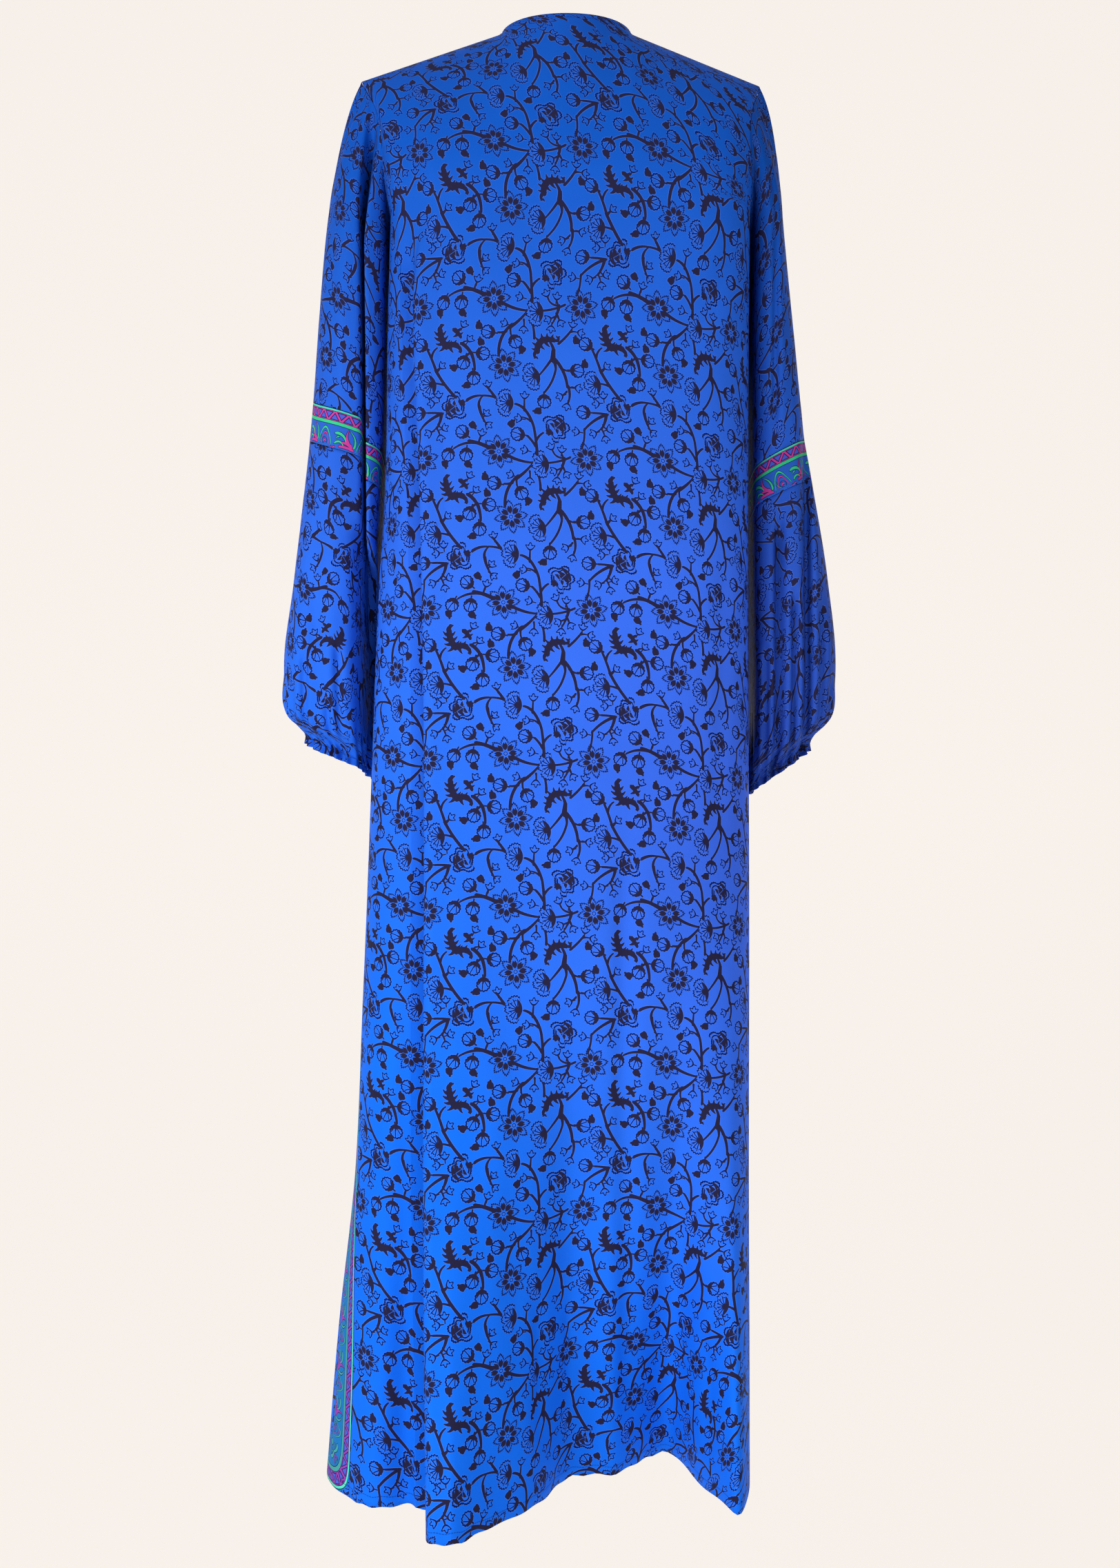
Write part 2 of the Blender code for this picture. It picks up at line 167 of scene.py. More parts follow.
BACK_CREASES = tabled(Crease,
    (-0.056, -0.700, -0.062, -1.346, 0.0060, 0.0120), (-0.008, -1.165, -0.009, -1.262, 0.0022, 0.0045),
    (0.019, -1.150, 0.016, -1.300, 0.0026, 0.0060), (-0.128, -1.190, -0.134, -1.320, 0.0024, 0.0060),
    (0.150, -0.215, 0.112, -0.300, 0.0018, 0.0100), (-0.165, -0.215, -0.110, -0.330, 0.0016, 0.0110),
    (0.060, -0.900, 0.052, -1.300, -0.0030, 0.0160), (-0.150, -0.480, -0.142, -0.760, 0.0018, 0.0090),
    (0.155, -0.420, 0.150, -0.700, 0.0020, 0.0080),
)
FRONT_CREASES = tabled(Crease,
    (0.120, -0.240, 0.070, -0.380, 0.0030, 0.0100), (-0.126, -0.240, -0.080, -0.400, 0.0026, 0.0100),
    (0.058, -0.520, 0.066, -1.300, 0.0050, 0.0120), (-0.018, -0.620, -0.010, -1.320, 0.0040, 0.0100),
    (-0.140, -0.560, -0.146, -1.280, 0.0044, 0.0110), (0.112, -0.900, 0.120, -1.330, 0.0036, 0.0080),
)
LEFT_RINGS = tabled(Ring,
    (-0.044, -0.185, 0.187, 0.158, 0.000, 0.050), (-0.075, -0.203, 0.202, 0.160, -0.004, 0.056),
    (-0.163, -0.250, 0.2185, 0.1625, -0.014, 0.060), (-0.260, -0.330, 0.229, 0.1645, -0.025, 0.064),
    (-0.338, -0.412, 0.2355, 0.167, -0.032, 0.068), (-0.375, -0.446, 0.239, 0.169, -0.034, 0.070),
    (-0.507, -0.568, 0.255, 0.176, -0.040, 0.076), (-0.595, -0.645, 0.265, 0.179, -0.044, 0.078),
    (-0.635, -0.680, 0.262, 0.180, -0.045, 0.068), (-0.658, -0.699, 0.244, 0.181, -0.045, 0.042),
    (-0.665, -0.706, 0.245, 0.180, -0.045, 0.044),
)
RIGHT_RINGS = tabled(Ring,
    (-0.048, -0.185, 0.188, 0.177, 0.000, 0.050), (-0.079, -0.200, 0.202, 0.180, -0.004, 0.056),
    (-0.165, -0.240, 0.210, 0.181, -0.014, 0.060), (-0.280, -0.335, 0.222, 0.181, -0.025, 0.065),
    (-0.379, -0.418, 0.2335, 0.182, -0.032, 0.069), (-0.417, -0.455, 0.240, 0.182, -0.034, 0.071),
    (-0.510, -0.552, 0.256, 0.183, -0.040, 0.077), (-0.608, -0.654, 0.2635, 0.184, -0.044, 0.080),
    (-0.643, -0.691, 0.259, 0.184, -0.045, 0.068), (-0.667, -0.712, 0.240, 0.185, -0.045, 0.042),
    (-0.674, -0.719, 0.241, 0.184, -0.045, 0.044),
)
LEFT_SLEEVE_FOLDS = tabled(SleeveFold,
    (0.1825, 1, 0.040, 0.0014, -0.015, -0.540), (0.1785, 1, 0.058, 0.0085, -0.430, -0.730),
    (0.226, 1, 0.006, 0.0100, -0.420, -0.680), (0.206, 1, 0.005, 0.0036, -0.540, -0.704),
    (0.238, 1, 0.007, 0.0042, -0.560, -0.712), (0.250, 1, 0.004, 0.0030, -0.590, -0.700),
    (0.216, 1, 0.004, 0.0026, -0.600, -0.710), (0.206, -1, 0.020, 0.0080, -0.090, -0.690),
    (0.228, -1, 0.006, 0.0040, -0.560, -0.710), (0.212, 1, 0.0030, 0.0060, -0.110, -0.330),
)
RIGHT_SLEEVE_FOLDS = tabled(SleeveFold,
    (0.230, 1, 0.018, 0.0044, -0.350, -0.700), (0.203, 1, 0.015, 0.0040, -0.430, -0.710),
    (0.217, 1, 0.010, 0.0030, -0.500, -0.716), (0.192, 1, 0.008, 0.0026, -0.540, -0.716),
    (0.244, 1, 0.010, 0.0036, -0.520, -0.712), (0.254, 1, 0.005, 0.0026, -0.600, -0.700),
    (0.207, -1, 0.020, 0.0080, -0.090, -0.700), (0.232, -1, 0.006, 0.0044, -0.540, -0.715),
    (0.199, 1, 0.0060, 0.0034, -0.100, -0.360), (0.212, 1, 0.0030, 0.0080, -0.150, -0.420),
)


def linked(name: str, data: bpy.types.ID) -> bpy.types.Object:
    """New object of the scene."""
    piece = bpy.data.objects.new(name, data)
    bpy.context.collection.objects.link(piece)
    return piece


def smooth_step(value: Array | float) -> Array:
    """Ease from 0 to 1 with level ends: three times the square less twice the cube.

    Args:
        value: Share that is cut to the range from 0 to 1 first.

    Returns:
        The eased share.
    """
    value = np.clip(value, 0.0, 1.0)
    return value * value * (3.0 - 2.0 * value)


def eased(share: Array, run: tuple[float, float]) -> Array:
    """Smooth step over a run that is given by its start and its length."""
    return smooth_step((share - run[0]) / run[1])


def signed_power(value: Array, power: Array) -> Array:
    """Power of the size of a value that keeps its sign."""
    return np.sign(value) * np.abs(value) ** power


def read_table(table: tuple[NamedTuple, ...], key: str, name: str, at: Array | float) -> Array:
    """Column of a table at any place of its key column, on one smooth cubic through each pair of rows.

    Args:
        table: Rows with named columns.
        key: Name of the column that orders the rows.
        name: Name of the column that is read.
        at: Places in the key column.

    Returns:
        The column's value at each place.
    """
    keys = np.array([getattr(row, key) for row in table])
    values = np.array([getattr(row, name) for row in table])
    order = np.argsort(keys)
    keys = keys[order]
    values = values[order]
    slopes = np.gradient(values, keys)
    at = np.asarray(at, dtype=float)
    low = np.clip(np.searchsorted(keys, at) - 1, 0, len(keys) - 2)
    span = keys[low + 1] - keys[low]
    t = np.clip((at - keys[low]) / span, 0.0, 1.0)
    start = (1.0 + 2.0 * t) * (1.0 - t) ** 2 * values[low] + t * (1.0 - t) ** 2 * span * slopes[low]
    end = t * t * (3.0 - 2.0 * t) * values[low + 1] + t * t * (t - 1.0) * span * slopes[low + 1]
    return start + end


def running_length(points: Array, axis: int) -> Array:
    """Length along one direction of a grid of points: the sum of the distances between neighbours.

    Args:
        points: Grid of points, its last axis holding the coordinates.
        axis: Direction of the grid that is followed.

    Returns:
        Length at every point, 0 at the start.
    """
    steps = np.linalg.norm(np.diff(points, axis=axis), axis=-1)
    total = np.cumsum(steps, axis=axis)
    start = np.zeros_like(np.take(total, [0], axis=axis))
    return np.concatenate([start, total], axis=axis)


def grid_normal(points: Array, closed: bool) -> Array:
    """Unit direction across a grid: the cross product of its two slopes, columns first.

    Args:
        points: Rows by columns of points.
        closed: Whether the last column joins the first.

    Returns:
        Unit vectors of the same shape.
    """
    if closed:
        along = np.roll(points, -1, axis=1) - np.roll(points, 1, axis=1)
    else:
        along = np.gradient(points, axis=1)
    normal = np.cross(along, np.gradient(points, axis=0))
    return normal / np.maximum(np.linalg.norm(normal, axis=-1, keepdims=True), 1e-12)


def crease_height(creases: tuple[Crease, ...], x: Array, z: Array) -> Array:
    """Height of the soft creases: each is a bell across its wavering line that eases in and out at its ends.

    Args:
        creases: Rows of creases.
        x: Places across.
        z: Heights.

    Returns:
        Height above the plain form, troughs negative.
    """
    total = np.zeros(np.broadcast(x, z).shape)
    for crease in creases:
        run = np.array([crease.x_foot - crease.x_top, crease.z_foot - crease.z_top])
        length = float(np.hypot(*run))
        along = ((x - crease.x_top) * run[0] + (z - crease.z_top) * run[1]) / length ** 2
        aside = ((x - crease.x_top) * run[1] - (z - crease.z_top) * run[0]) / length
        aside = aside + CREASE_WAVER * crease.width * np.sin(9.0 * along + 40.0 * crease.x_top)
        fade = smooth_step(along / CREASE_EASE) * smooth_step((CREASE_END - along) / CREASE_EASE)
        total = total - crease.depth * fade * np.exp(-((aside / crease.width) ** 2))
    return total


@dataclass
class BodyForm:
    """Filled-out form of the dress body, with the sizes of its neck, shoulders and armholes."""

    levels: tuple[Level, ...] = BODY_LEVELS
    back_folds: tuple[Fold, ...] = BACK_FOLDS
    front_folds: tuple[Fold, ...] = FRONT_FOLDS
    underarm_z: float = -0.185
    hem_z: float = -1.346
    neck_x: float = -0.006
    neck_half: float = 0.061
    neck_back_depth: float = 0.055
    neck_back_drop: float = 0.005
    neck_fullness: float = 0.65
    soft_neck_share: float = 0.93
    soft_neck_width: float = 0.055
    neckline_depth: float = 0.190
    neckline_forward: float = 0.106
    tip_left: float = 0.187
    tip_right: float = -0.188
    slope_left: float = 0.340
    slope_right: float = 0.408
    armhole_turn: float = math.radians(25.0)
    shoulder_arc: float = math.radians(62.0)
    neckline_dip: float = 0.095
    neckline_spread: float = 0.085
    neckline_fade: float = 0.330
    seam_gap: float = 0.0003

    def read(self, name: str, z: Array | float) -> Array:
        """One column of the levels at any height."""
        return read_table(self.levels, "z", name, z)

    def row_height(self, level: Array | float) -> Array | float:
        """Height of a row below the underarm, and the underarm's own for the rows above it."""
        return self.underarm_z + np.minimum(level, 0.0) * (self.underarm_z - self.hem_z)

    def fold_height(self, folds: tuple[Fold, ...], x: Array, z: Array) -> Array:
        """How far the skirt's folds stand out: each is a bell across that grows with a power of the way down.

        Args:
            folds: Rows of folds.
            x: Places across the body.
            z: Heights.

        Returns:
            Height of all folds together.
        """
        total = np.zeros(np.broadcast(x, z).shape)
        for fold in folds:
            grown = np.clip((fold.start - z) / (fold.start - self.hem_z), 0.0, None) ** fold.growth
            width = np.where(x > fold.x, fold.toward_left, fold.toward_right)
            total = total + fold.depth * grown * np.exp(-(((x - fold.x) / width) ** 2))
        return total

    def outline(self, theta: Array, z: Array) -> tuple[Array, Array]:
        """Level outline: a rounded rectangle, from powers of sine and cosine, with the folds on it.

        Args:
            theta: Angles, 0 at the left side and a quarter turn at the back.
            z: Heights.

        Returns:
            X and Y of the outline.
        """
        left = self.read("left", z)
        right = self.read("right", z)
        power = 2.0 / self.read("square", z)
        x = 0.5 * (left + right) + 0.5 * (left - right) * signed_power(np.cos(theta), power)
        at_back = np.sin(theta) >= 0.0
        depth = np.where(at_back, self.read("back", z), self.read("front", z))
        rise = signed_power(np.sin(theta), power)
        back = self.fold_height(self.back_folds, x, z)
        front = self.fold_height(self.front_folds, x, z)
        return x, depth * rise + np.where(at_back, back, -front) * np.abs(rise)

    def top_edge(self, x_ring: Array, face: Array) -> tuple[Array, Array, Array]:
        """Shoulder and neck edge above a place of the underarm outline.

        The shoulders fall with a straight slope from the neck points, and the neck opening bows away from the
        shoulder line with a power of a parabola.

        Args:
            x_ring: X of the underarm outline below the point.
            face: 1 on the back and -1 on the front.

        Returns:
            X, Y and Z of the edge.
        """
        left_scale = (self.tip_left - self.neck_x) / (self.levels[0].left - self.neck_x)
        right_scale = (self.tip_right - self.neck_x) / (self.levels[0].right - self.neck_x)
        from_middle = x_ring - self.neck_x
        x = self.neck_x + from_middle * np.where(from_middle > 0.0, left_scale, right_scale)
        from_neck = np.abs(x - self.neck_x)
        run = np.clip(from_neck - self.neck_half, 0.0, None)
        slope = np.where(x > self.neck_x, self.slope_left, self.slope_right)
        inward = np.clip(1.0 - from_neck / self.neck_half, 0.0, 1.0)
        bow = np.clip(1.0 - (1.0 - inward) ** 2, 0.0, 1.0) ** self.neck_fullness
        depth = np.where(face > 0, self.neck_back_depth, self.neckline_forward)
        drop = np.where(face > 0, self.neck_back_drop * bow ** 2, self.neckline_depth * inward)
        return x, face * (0.5 * self.seam_gap + depth * bow), -slope * run - drop

    def point(self, theta: Array, level: Array) -> Array:
        """Point of the form: outlines below the underarm, and arcs from there up to the shoulder line.

        The arcs aim at a soft bell of the neck's fullness, which turns into the true edge with the sixth
        power of the level, so that the neck points draw no ridges down the cloth.

        Args:
            theta: Angles around the body.
            level: -1 at the hem, 0 at the underarm and 1 at the shoulder line.

        Returns:
            Points, the coordinates on the last axis.
        """
        theta, level = np.broadcast_arrays(np.asarray(theta, float), np.asarray(level, float))
        face = np.where(np.sin(theta) >= 0.0, 1.0, -1.0)
        z = self.row_height(level)
        x, _ = self.outline(theta, z)
        near_neckline = np.exp(-(((x - self.neck_x) / self.neckline_spread) ** 2))
        fade = 1.0 - smooth_step((self.underarm_z - z) / self.neckline_fade)
        z = np.where(face < 0, z - self.neckline_dip * near_neckline * fade, z)
        x, y = self.outline(theta, z)
        top_x, top_y, top_z = self.top_edge(x, face)
        fullness = np.where(face > 0, self.neck_back_depth, self.neckline_forward) * self.soft_neck_share
        soft_y = face * fullness * np.exp(-(((top_x - self.neck_x) / self.soft_neck_width) ** 2))
        top_y = soft_y + (top_y - soft_y) * np.clip(level, 0.0, 1.0) ** 6
        arc = np.maximum(level, 0.0) * self.shoulder_arc
        rise = np.sin(arc) / math.sin(self.shoulder_arc)
        drawn_in = (1.0 - np.cos(arc)) / (1.0 - math.cos(self.shoulder_arc))
        return np.stack([x + (top_x - x) * rise, y + (top_y - y) * drawn_in, z + (top_z - z) * rise], axis=-1)

    def seams(self, face: Face, level: float) -> tuple[float, float]:
        """Angles of a panel's left and right seam at a level, cut back around the armholes.

        Args:
            face: Back or front.
            level: Level of the row.

        Returns:
            Angle of the left and of the right seam.
        """
        z = self.row_height(level)
        cut = self.armhole_turn * max(math.sin(math.pi * max(level, 0.0)), 0.0)
        left = math.radians(float(self.read("seam_left", z))) + face.value * cut
        right = face.value * math.pi - math.radians(float(self.read("seam_right", z))) - face.value * cut
        return left, right

    def armhole(self, side: Side, cells: int) -> Array:
        """Closed ring on an armhole, from the underarm over the back to the shoulder tip and down the front.

        Args:
            side: Left or right.
            cells: Number of points of the ring, an even number.

        Returns:
            Points of the ring.
        """
        half = cells // 2
        levels = np.linspace(0.0, 1.0, half + 1)
        which = 0 if side is Side.LEFT else 1
        back_turn = np.array([self.seams(Face.BACK, level)[which] for level in levels])
        front_turn = np.array([self.seams(Face.FRONT, level)[which] for level in levels])
        back = self.point(back_turn, levels)
        front = self.point(front_turn, levels)
        under = 0.5 * (back[:1] + front[:1])
        tip = 0.5 * (back[-1:] + front[-1:])
        ring = np.vstack([under, back[1:-1], tip, front[-2:0:-1]])
        ring[:, 0] += side.value * self.seam_gap
        return ring


class PleatRow(NamedTuple):
    """Height, place of the pleat's outer edge and length of the cloth hidden behind it."""

    z: float
    x_edge: float
    hidden: float


@dataclass
class BackPleat:
    """Long pleat of the back: the cloth runs in under the ridge, turns back and rolls over."""

    rows: tuple[PleatRow, ...] = tabled(PleatRow,
        (-0.185, 0.1345, 0.000), (-0.320, 0.1310, 0.007), (-0.444, 0.1263, 0.016),
        (-0.626, 0.1222, 0.032), (-1.050, 0.1206, 0.062), (-1.346, 0.1150, 0.082),
    )
    foot_reach: float = 0.012
    crest_reach: float = 0.024
    begin_z: float = -0.196
    full_z: float = -0.270
    inward: Pair = (0.0, 0.40)
    back_out: Pair = (0.30, 0.40)
    onto: Pair = (0.62, 0.38)
    first_climb: Pair = (0.22, 0.26)
    second_climb: Pair = (0.52, 0.26)
    cells: int = 34
    edge_share: float = 0.72

    def edge(self, z: Array | float) -> Array:
        """Place of the pleat's outer edge at a height."""
        return read_table(self.rows, "z", "x_edge", z)

    def shape(self, foot: Array, crest: Array, z: Array) -> Array:
        """Points across the pleat: eased runs in under the ridge, back out to the edge and onto the ridge.

        Args:
            foot: Points of the valley side, a row each.
            crest: Points of the ridge side, a row each.
            z: Height of each row.

        Returns:
            Rows by cells + 1 points.
        """
        share = np.linspace(0.0, 1.0, self.cells + 1)[None, :]
        edge = self.edge(z)[:, None]
        turned = edge - 0.5 * read_table(self.rows, "z", "hidden", z)[:, None]
        foot_x = foot[:, None, 0]
        crest_x = crest[:, None, 0]
        x = foot_x + (turned - foot_x) * eased(share, self.inward)
        x = x + (edge - turned) * eased(share, self.back_out) + (crest_x - edge) * eased(share, self.onto)
        climb = 0.5 * eased(share, self.first_climb) + 0.5 * eased(share, self.second_climb)
        y = foot[:, None, 1] + (crest[:, None, 1] - foot[:, None, 1]) * climb
        height = foot[:, None, 2] + (crest[:, None, 2] - foot[:, None, 2]) * share
        folded = np.stack([x, y, height], axis=-1)
        plain = foot[:, None, :] + (crest - foot)[:, None, :] * share[..., None]
        amount = smooth_step((self.begin_z - z) / (self.begin_z - self.full_z))[:, None, None]
        return plain + (folded - plain) * amount


@dataclass
class Shell:
    """Grid of cloth points with the maps that its materials read."""

    name: str
    outer: Array
    thickness: float
    outward: int
    closed: bool
    print_map: Array
    trim_map: Array
    head_map: Array
    normal: Array = field(init=False)

    def __post_init__(self) -> None:
        """Work out the direction across the cloth."""
        self.normal = self.outward * grid_normal(self.outer, self.closed)

    def corners(self) -> tuple[Array, Array]:
        """Corner indices of the outer cells: for each cell the four points and their four places in the maps.

        Returns:
            Point indices and map indices, four to a cell.
        """
        rows, columns = self.outer.shape[:2]
        wrap = columns if self.closed else columns - 1
        wide = wrap + 1
        row, column = np.meshgrid(np.arange(rows - 1), np.arange(wrap), indexing="ij")
        cells = []
        for stride, ahead in ((columns, (column + 1) % columns), (wide, column + 1)):
            near = row * stride
            far = near + stride
            corners = np.stack([near + column, near + ahead, far + ahead, far + column], axis=-1)
            cells.append(corners.reshape(-1, 4))
        return cells[0], cells[1]

    def rims(self, count: int) -> tuple[Array, Array]:
        """Cells that join both sides of the cloth along its free edges.

        Args:
            count: Number of points of one side.

        Returns:
            Point indices and map indices, four to a cell.
        """
        rows, columns = self.outer.shape[:2]
        wrap = columns if self.closed else columns - 1
        wide = wrap + 1
        start = np.arange(wrap)
        ahead = (start + 1) % columns
        last = (rows - 1) * columns
        last_place = (rows - 1) * wide
        runs = [(ahead, start, start + 1, start),
                (last + start, last + ahead, last_place + start, last_place + start + 1)]
        if not self.closed:
            side = np.arange(rows - 1) * columns
            far = side + columns - 1
            runs.append((side, side + columns, side, side + columns))
            runs.append((far + columns, far, far + columns, far))
        edges = [np.stack([a, b, b + count, a + count], axis=-1) for a, b, _, _ in runs]
        places = [np.stack([a, b, b, a], axis=-1) for _, _, a, b in runs]
        return np.vstack(edges), np.vstack(places)

    def build(self) -> bpy.types.Object:
        """Closed wall of the cloth: outer side, inner side one thickness below it, and the rims between them.

        Returns:
            The new object, at the origin.
        """
        inner = self.outer - self.thickness * self.normal
        count = self.outer.shape[0] * self.outer.shape[1]
        points = np.vstack([self.outer.reshape(-1, 3), inner.reshape(-1, 3)])
        quads, maps = self.corners()
        rim_quads, rim_maps = self.rims(count)
        faces = np.vstack([quads, quads[:, ::-1] + count, rim_quads])
        places = np.vstack([maps, maps[:, ::-1], rim_maps])
        if self.outward < 0:
            faces = faces[:, ::-1]
            places = places[:, ::-1]
        mesh = bpy.data.meshes.new(self.name)
        mesh.from_pydata(points.tolist(), [], faces.tolist())
        for map_name, values in (("print", self.print_map), ("trim", self.trim_map), ("head", self.head_map)):
            layer = mesh.uv_layers.new(name=map_name)
            layer.data.foreach_set("uv", values.reshape(-1, 2)[places.ravel()].astype(np.float32).ravel())
        mesh.shade_smooth()
        mesh.update()
        return linked(self.name, mesh)


@dataclass
class DressBody:
    """Back and front panel of the dress, cut as one piece each from the shoulder to the hem."""

    form: BodyForm
    pleat: BackPleat
    thickness: float = 0.0006
    rows_below: int = 176
    rows_above: int = 46
    dense: int = 900
    valley_cells: int = 24
    ridge_cells: int = 116
    front_cells: int = 150
    print_depth_share: float = 0.78
    skirt: Pair = (-0.50, 0.4)
    armhole_inset: float = 0.050
    drape_depth: float = 0.0011
    drape: Pair = (-0.25, 0.8)
    side_ease: float = 0.04
    top_ease: float = 0.2
    hem_roll: float = 0.016
    hem_ripple: float = 0.0009
    print_rise: float = 0.080
    print_rise_from: float = -0.300
    grain_lean: float = -0.047
    grain_sag: float = 0.34
    grain_draw: float = 0.247
    grain_draw_from: float = 0.130

    def levels(self) -> Array:
        """Levels of the rows, from the hem up to the shoulder line."""
        below = np.linspace(-1.0, 0.0, self.rows_below + 1)
        above = np.linspace(0.0, 1.0, self.rows_above + 1)[1:]
        return np.concatenate([below, above])

    def row_points(self, face: Face, level: float, stops: tuple[float, ...], cells: tuple[int, ...]) -> Array:
        """Points of one row, evenly spaced in length between the seams and the stops.

        Args:
            face: Back or front.
            level: Level of the row.
            stops: Places across where the spacing changes.
            cells: Number of cells of each stretch.

        Returns:
            Points from the left seam to the right seam.
        """
        first, last = self.form.seams(face, level)
        theta = np.linspace(first, last, self.dense)
        run = running_length(self.form.point(theta, level), 0)
        ring_x, _ = self.form.outline(theta, np.full_like(theta, self.form.row_height(level)))
        marks = np.interp(-np.array(stops), -ring_x, run) if stops else np.array([])
        half_gap = 0.5 * self.form.seam_gap
        marks = np.concatenate([[run[0] + half_gap], marks, [run[-1] - half_gap]])
        at = [marks[:1]]
        for part, count in enumerate(cells):
            at.append(np.linspace(marks[part], marks[part + 1], count + 1)[1:])
        return self.form.point(np.interp(np.concatenate(at), run, theta), level)

    def back_grid(self) -> tuple[Array, int]:
        """Grid of the back panel with its pleat.

        Returns:
            Points of the grid, and the column on the pleat's outer edge.
        """
        valley = []
        ridge = []
        heights = []
        for level in self.levels():
            z = self.form.row_height(level)
            edge = float(self.pleat.edge(z))
            stops = (edge + self.pleat.foot_reach, edge - self.pleat.crest_reach)
            points = self.row_points(Face.BACK, level, stops, (self.valley_cells, 1, self.ridge_cells))
            valley.append(points[:self.valley_cells + 1])
            ridge.append(points[self.valley_cells + 1:])
            heights.append(z)
        valley = np.array(valley)
        ridge = np.array(ridge)
        folded = self.pleat.shape(valley[:, -1], ridge[:, 0], np.array(heights))
        grid = np.concatenate([valley[:, :-1], folded, ridge[:, 1:]], axis=1)
        return grid, self.valley_cells + int(self.pleat.edge_share * self.pleat.cells)

    def front_grid(self) -> tuple[Array, int]:
        """Points of the front panel, and the column in its middle."""
        rows = [self.row_points(Face.FRONT, level, (), (self.front_cells,)) for level in self.levels()]
        return np.array(rows), self.front_cells // 2

    def creased(self, points: Array, face: Face, creases: tuple[Crease, ...]) -> Array:
        """Grid with its soft creases, uneven drape and rippled hem, and seam edges left in place.

        The bare numbers of its waves are radians to the metre and phases.

        Args:
            points: Plain grid.
            face: Back or front.
            creases: Rows of creases.

        Returns:
            Creased grid.
        """
        normal = face.value * grid_normal(points, False)
        x = points[..., 0]
        z = points[..., 2]
        height = crease_height(creases, x, z)
        low = smooth_step((self.drape[0] - z) / self.drape[1])
        sway = np.sin(23.0 * x + 5.1 * z + 0.8) * np.sin(4.3 * z - 7.0 * x) + 0.6 * np.sin(41.0 * x - 3.3 * z)
        height = height + self.drape_depth * low * sway
        columns = np.linspace(0.0, 1.0, points.shape[1])
        at_side = smooth_step(columns / self.side_ease) * smooth_step((1.0 - columns) / self.side_ease)
        at_top = smooth_step((1.0 - np.maximum(self.levels(), 0.0)) / self.top_ease)
        creased = points + normal * (height * at_side[None, :] * at_top[:, None])[..., None]
        ripple = np.sin(300.0 * x + 1.4 * np.sin(70.0 * x)) + 0.6 * np.sin(185.0 * x + 2.0)
        at_hem = smooth_step((self.form.hem_z + self.hem_roll - z) / self.hem_roll) * at_side
        creased[..., 2] += self.hem_ripple * at_hem * ripple
        return creased

    def cloth_maps(self, points: Array, anchor: int) -> tuple[Array, Array, Array]:
        """Maps in metres of cloth: the print's place, the distances to side and hem, and the one to the top.

        The place across is the length along the row, with its depth taken short on the folded skirt, and the
        place up is the length along the column in the plane of depth and height. To the right of the anchor
        the cloth's grain sags with the square of the way across and is drawn together a little. Above the
        underarm the distance to the side grows by a step, so that the border ends there.

        Args:
            points: Grid of the outer side.
            anchor: Column where the print's place across is 0.

        Returns:
            Print, trim and head map.
        """
        below = smooth_step((self.skirt[0] - points[..., 2]) / self.skirt[1])
        depth = 1.0 - (1.0 - self.print_depth_share) * below
        steps = np.diff(points, axis=1)
        steps[..., 1] *= 0.5 * (depth[:, 1:] + depth[:, :-1])
        lengths = np.cumsum(np.linalg.norm(steps, axis=-1), axis=1)
        across = np.concatenate([np.zeros((len(points), 1)), lengths], axis=1)
        upright = points.copy()
        upright[..., 0] = 0.0
        up = running_length(upright, 0)
        row = self.rows_below
        place_up = up - up[row] + points[row, :, 2]
        place_up = place_up - self.print_rise * np.maximum(points[..., 2] - self.print_rise_from, 0.0)
        true_across = running_length(points, 1)
        to_side = np.minimum(true_across, true_across[:, -1:] - true_across)
        over_underarm = points[..., 2] - self.form.underarm_z
        to_side += self.armhole_inset * smooth_step(over_underarm / self.armhole_inset)
        place_across = across - across[:, anchor:anchor + 1]
        rightward = np.maximum(place_across, 0.0)
        place_up = place_up + self.grain_lean * rightward + self.grain_sag * rightward ** 2
        place_across = place_across + self.grain_draw * np.maximum(rightward - self.grain_draw_from, 0.0) ** 2
        print_map = np.stack([place_across, place_up], axis=-1)
        trim_map = np.stack([to_side, up], axis=-1)
        head_map = np.stack([up[-1:] - up, true_across], axis=-1)
        return print_map, trim_map, head_map

    def build(self) -> tuple[bpy.types.Object, bpy.types.Object]:
        """Both panels as thin walls.

        Returns:
            Back and front piece.
        """
        pieces = []
        for face, (grid, anchor), creases in (
            (Face.BACK, self.back_grid(), BACK_CREASES),
            (Face.FRONT, self.front_grid(), FRONT_CREASES),
        ):
            points = self.creased(grid, face, creases)
            maps = self.cloth_maps(points, anchor)
            name = f"{face.name.lower()}_panel_cloth"
            pieces.append(Shell(name, points, self.thickness, face.value, False, *maps).build())
        return pieces[0], pieces[1]


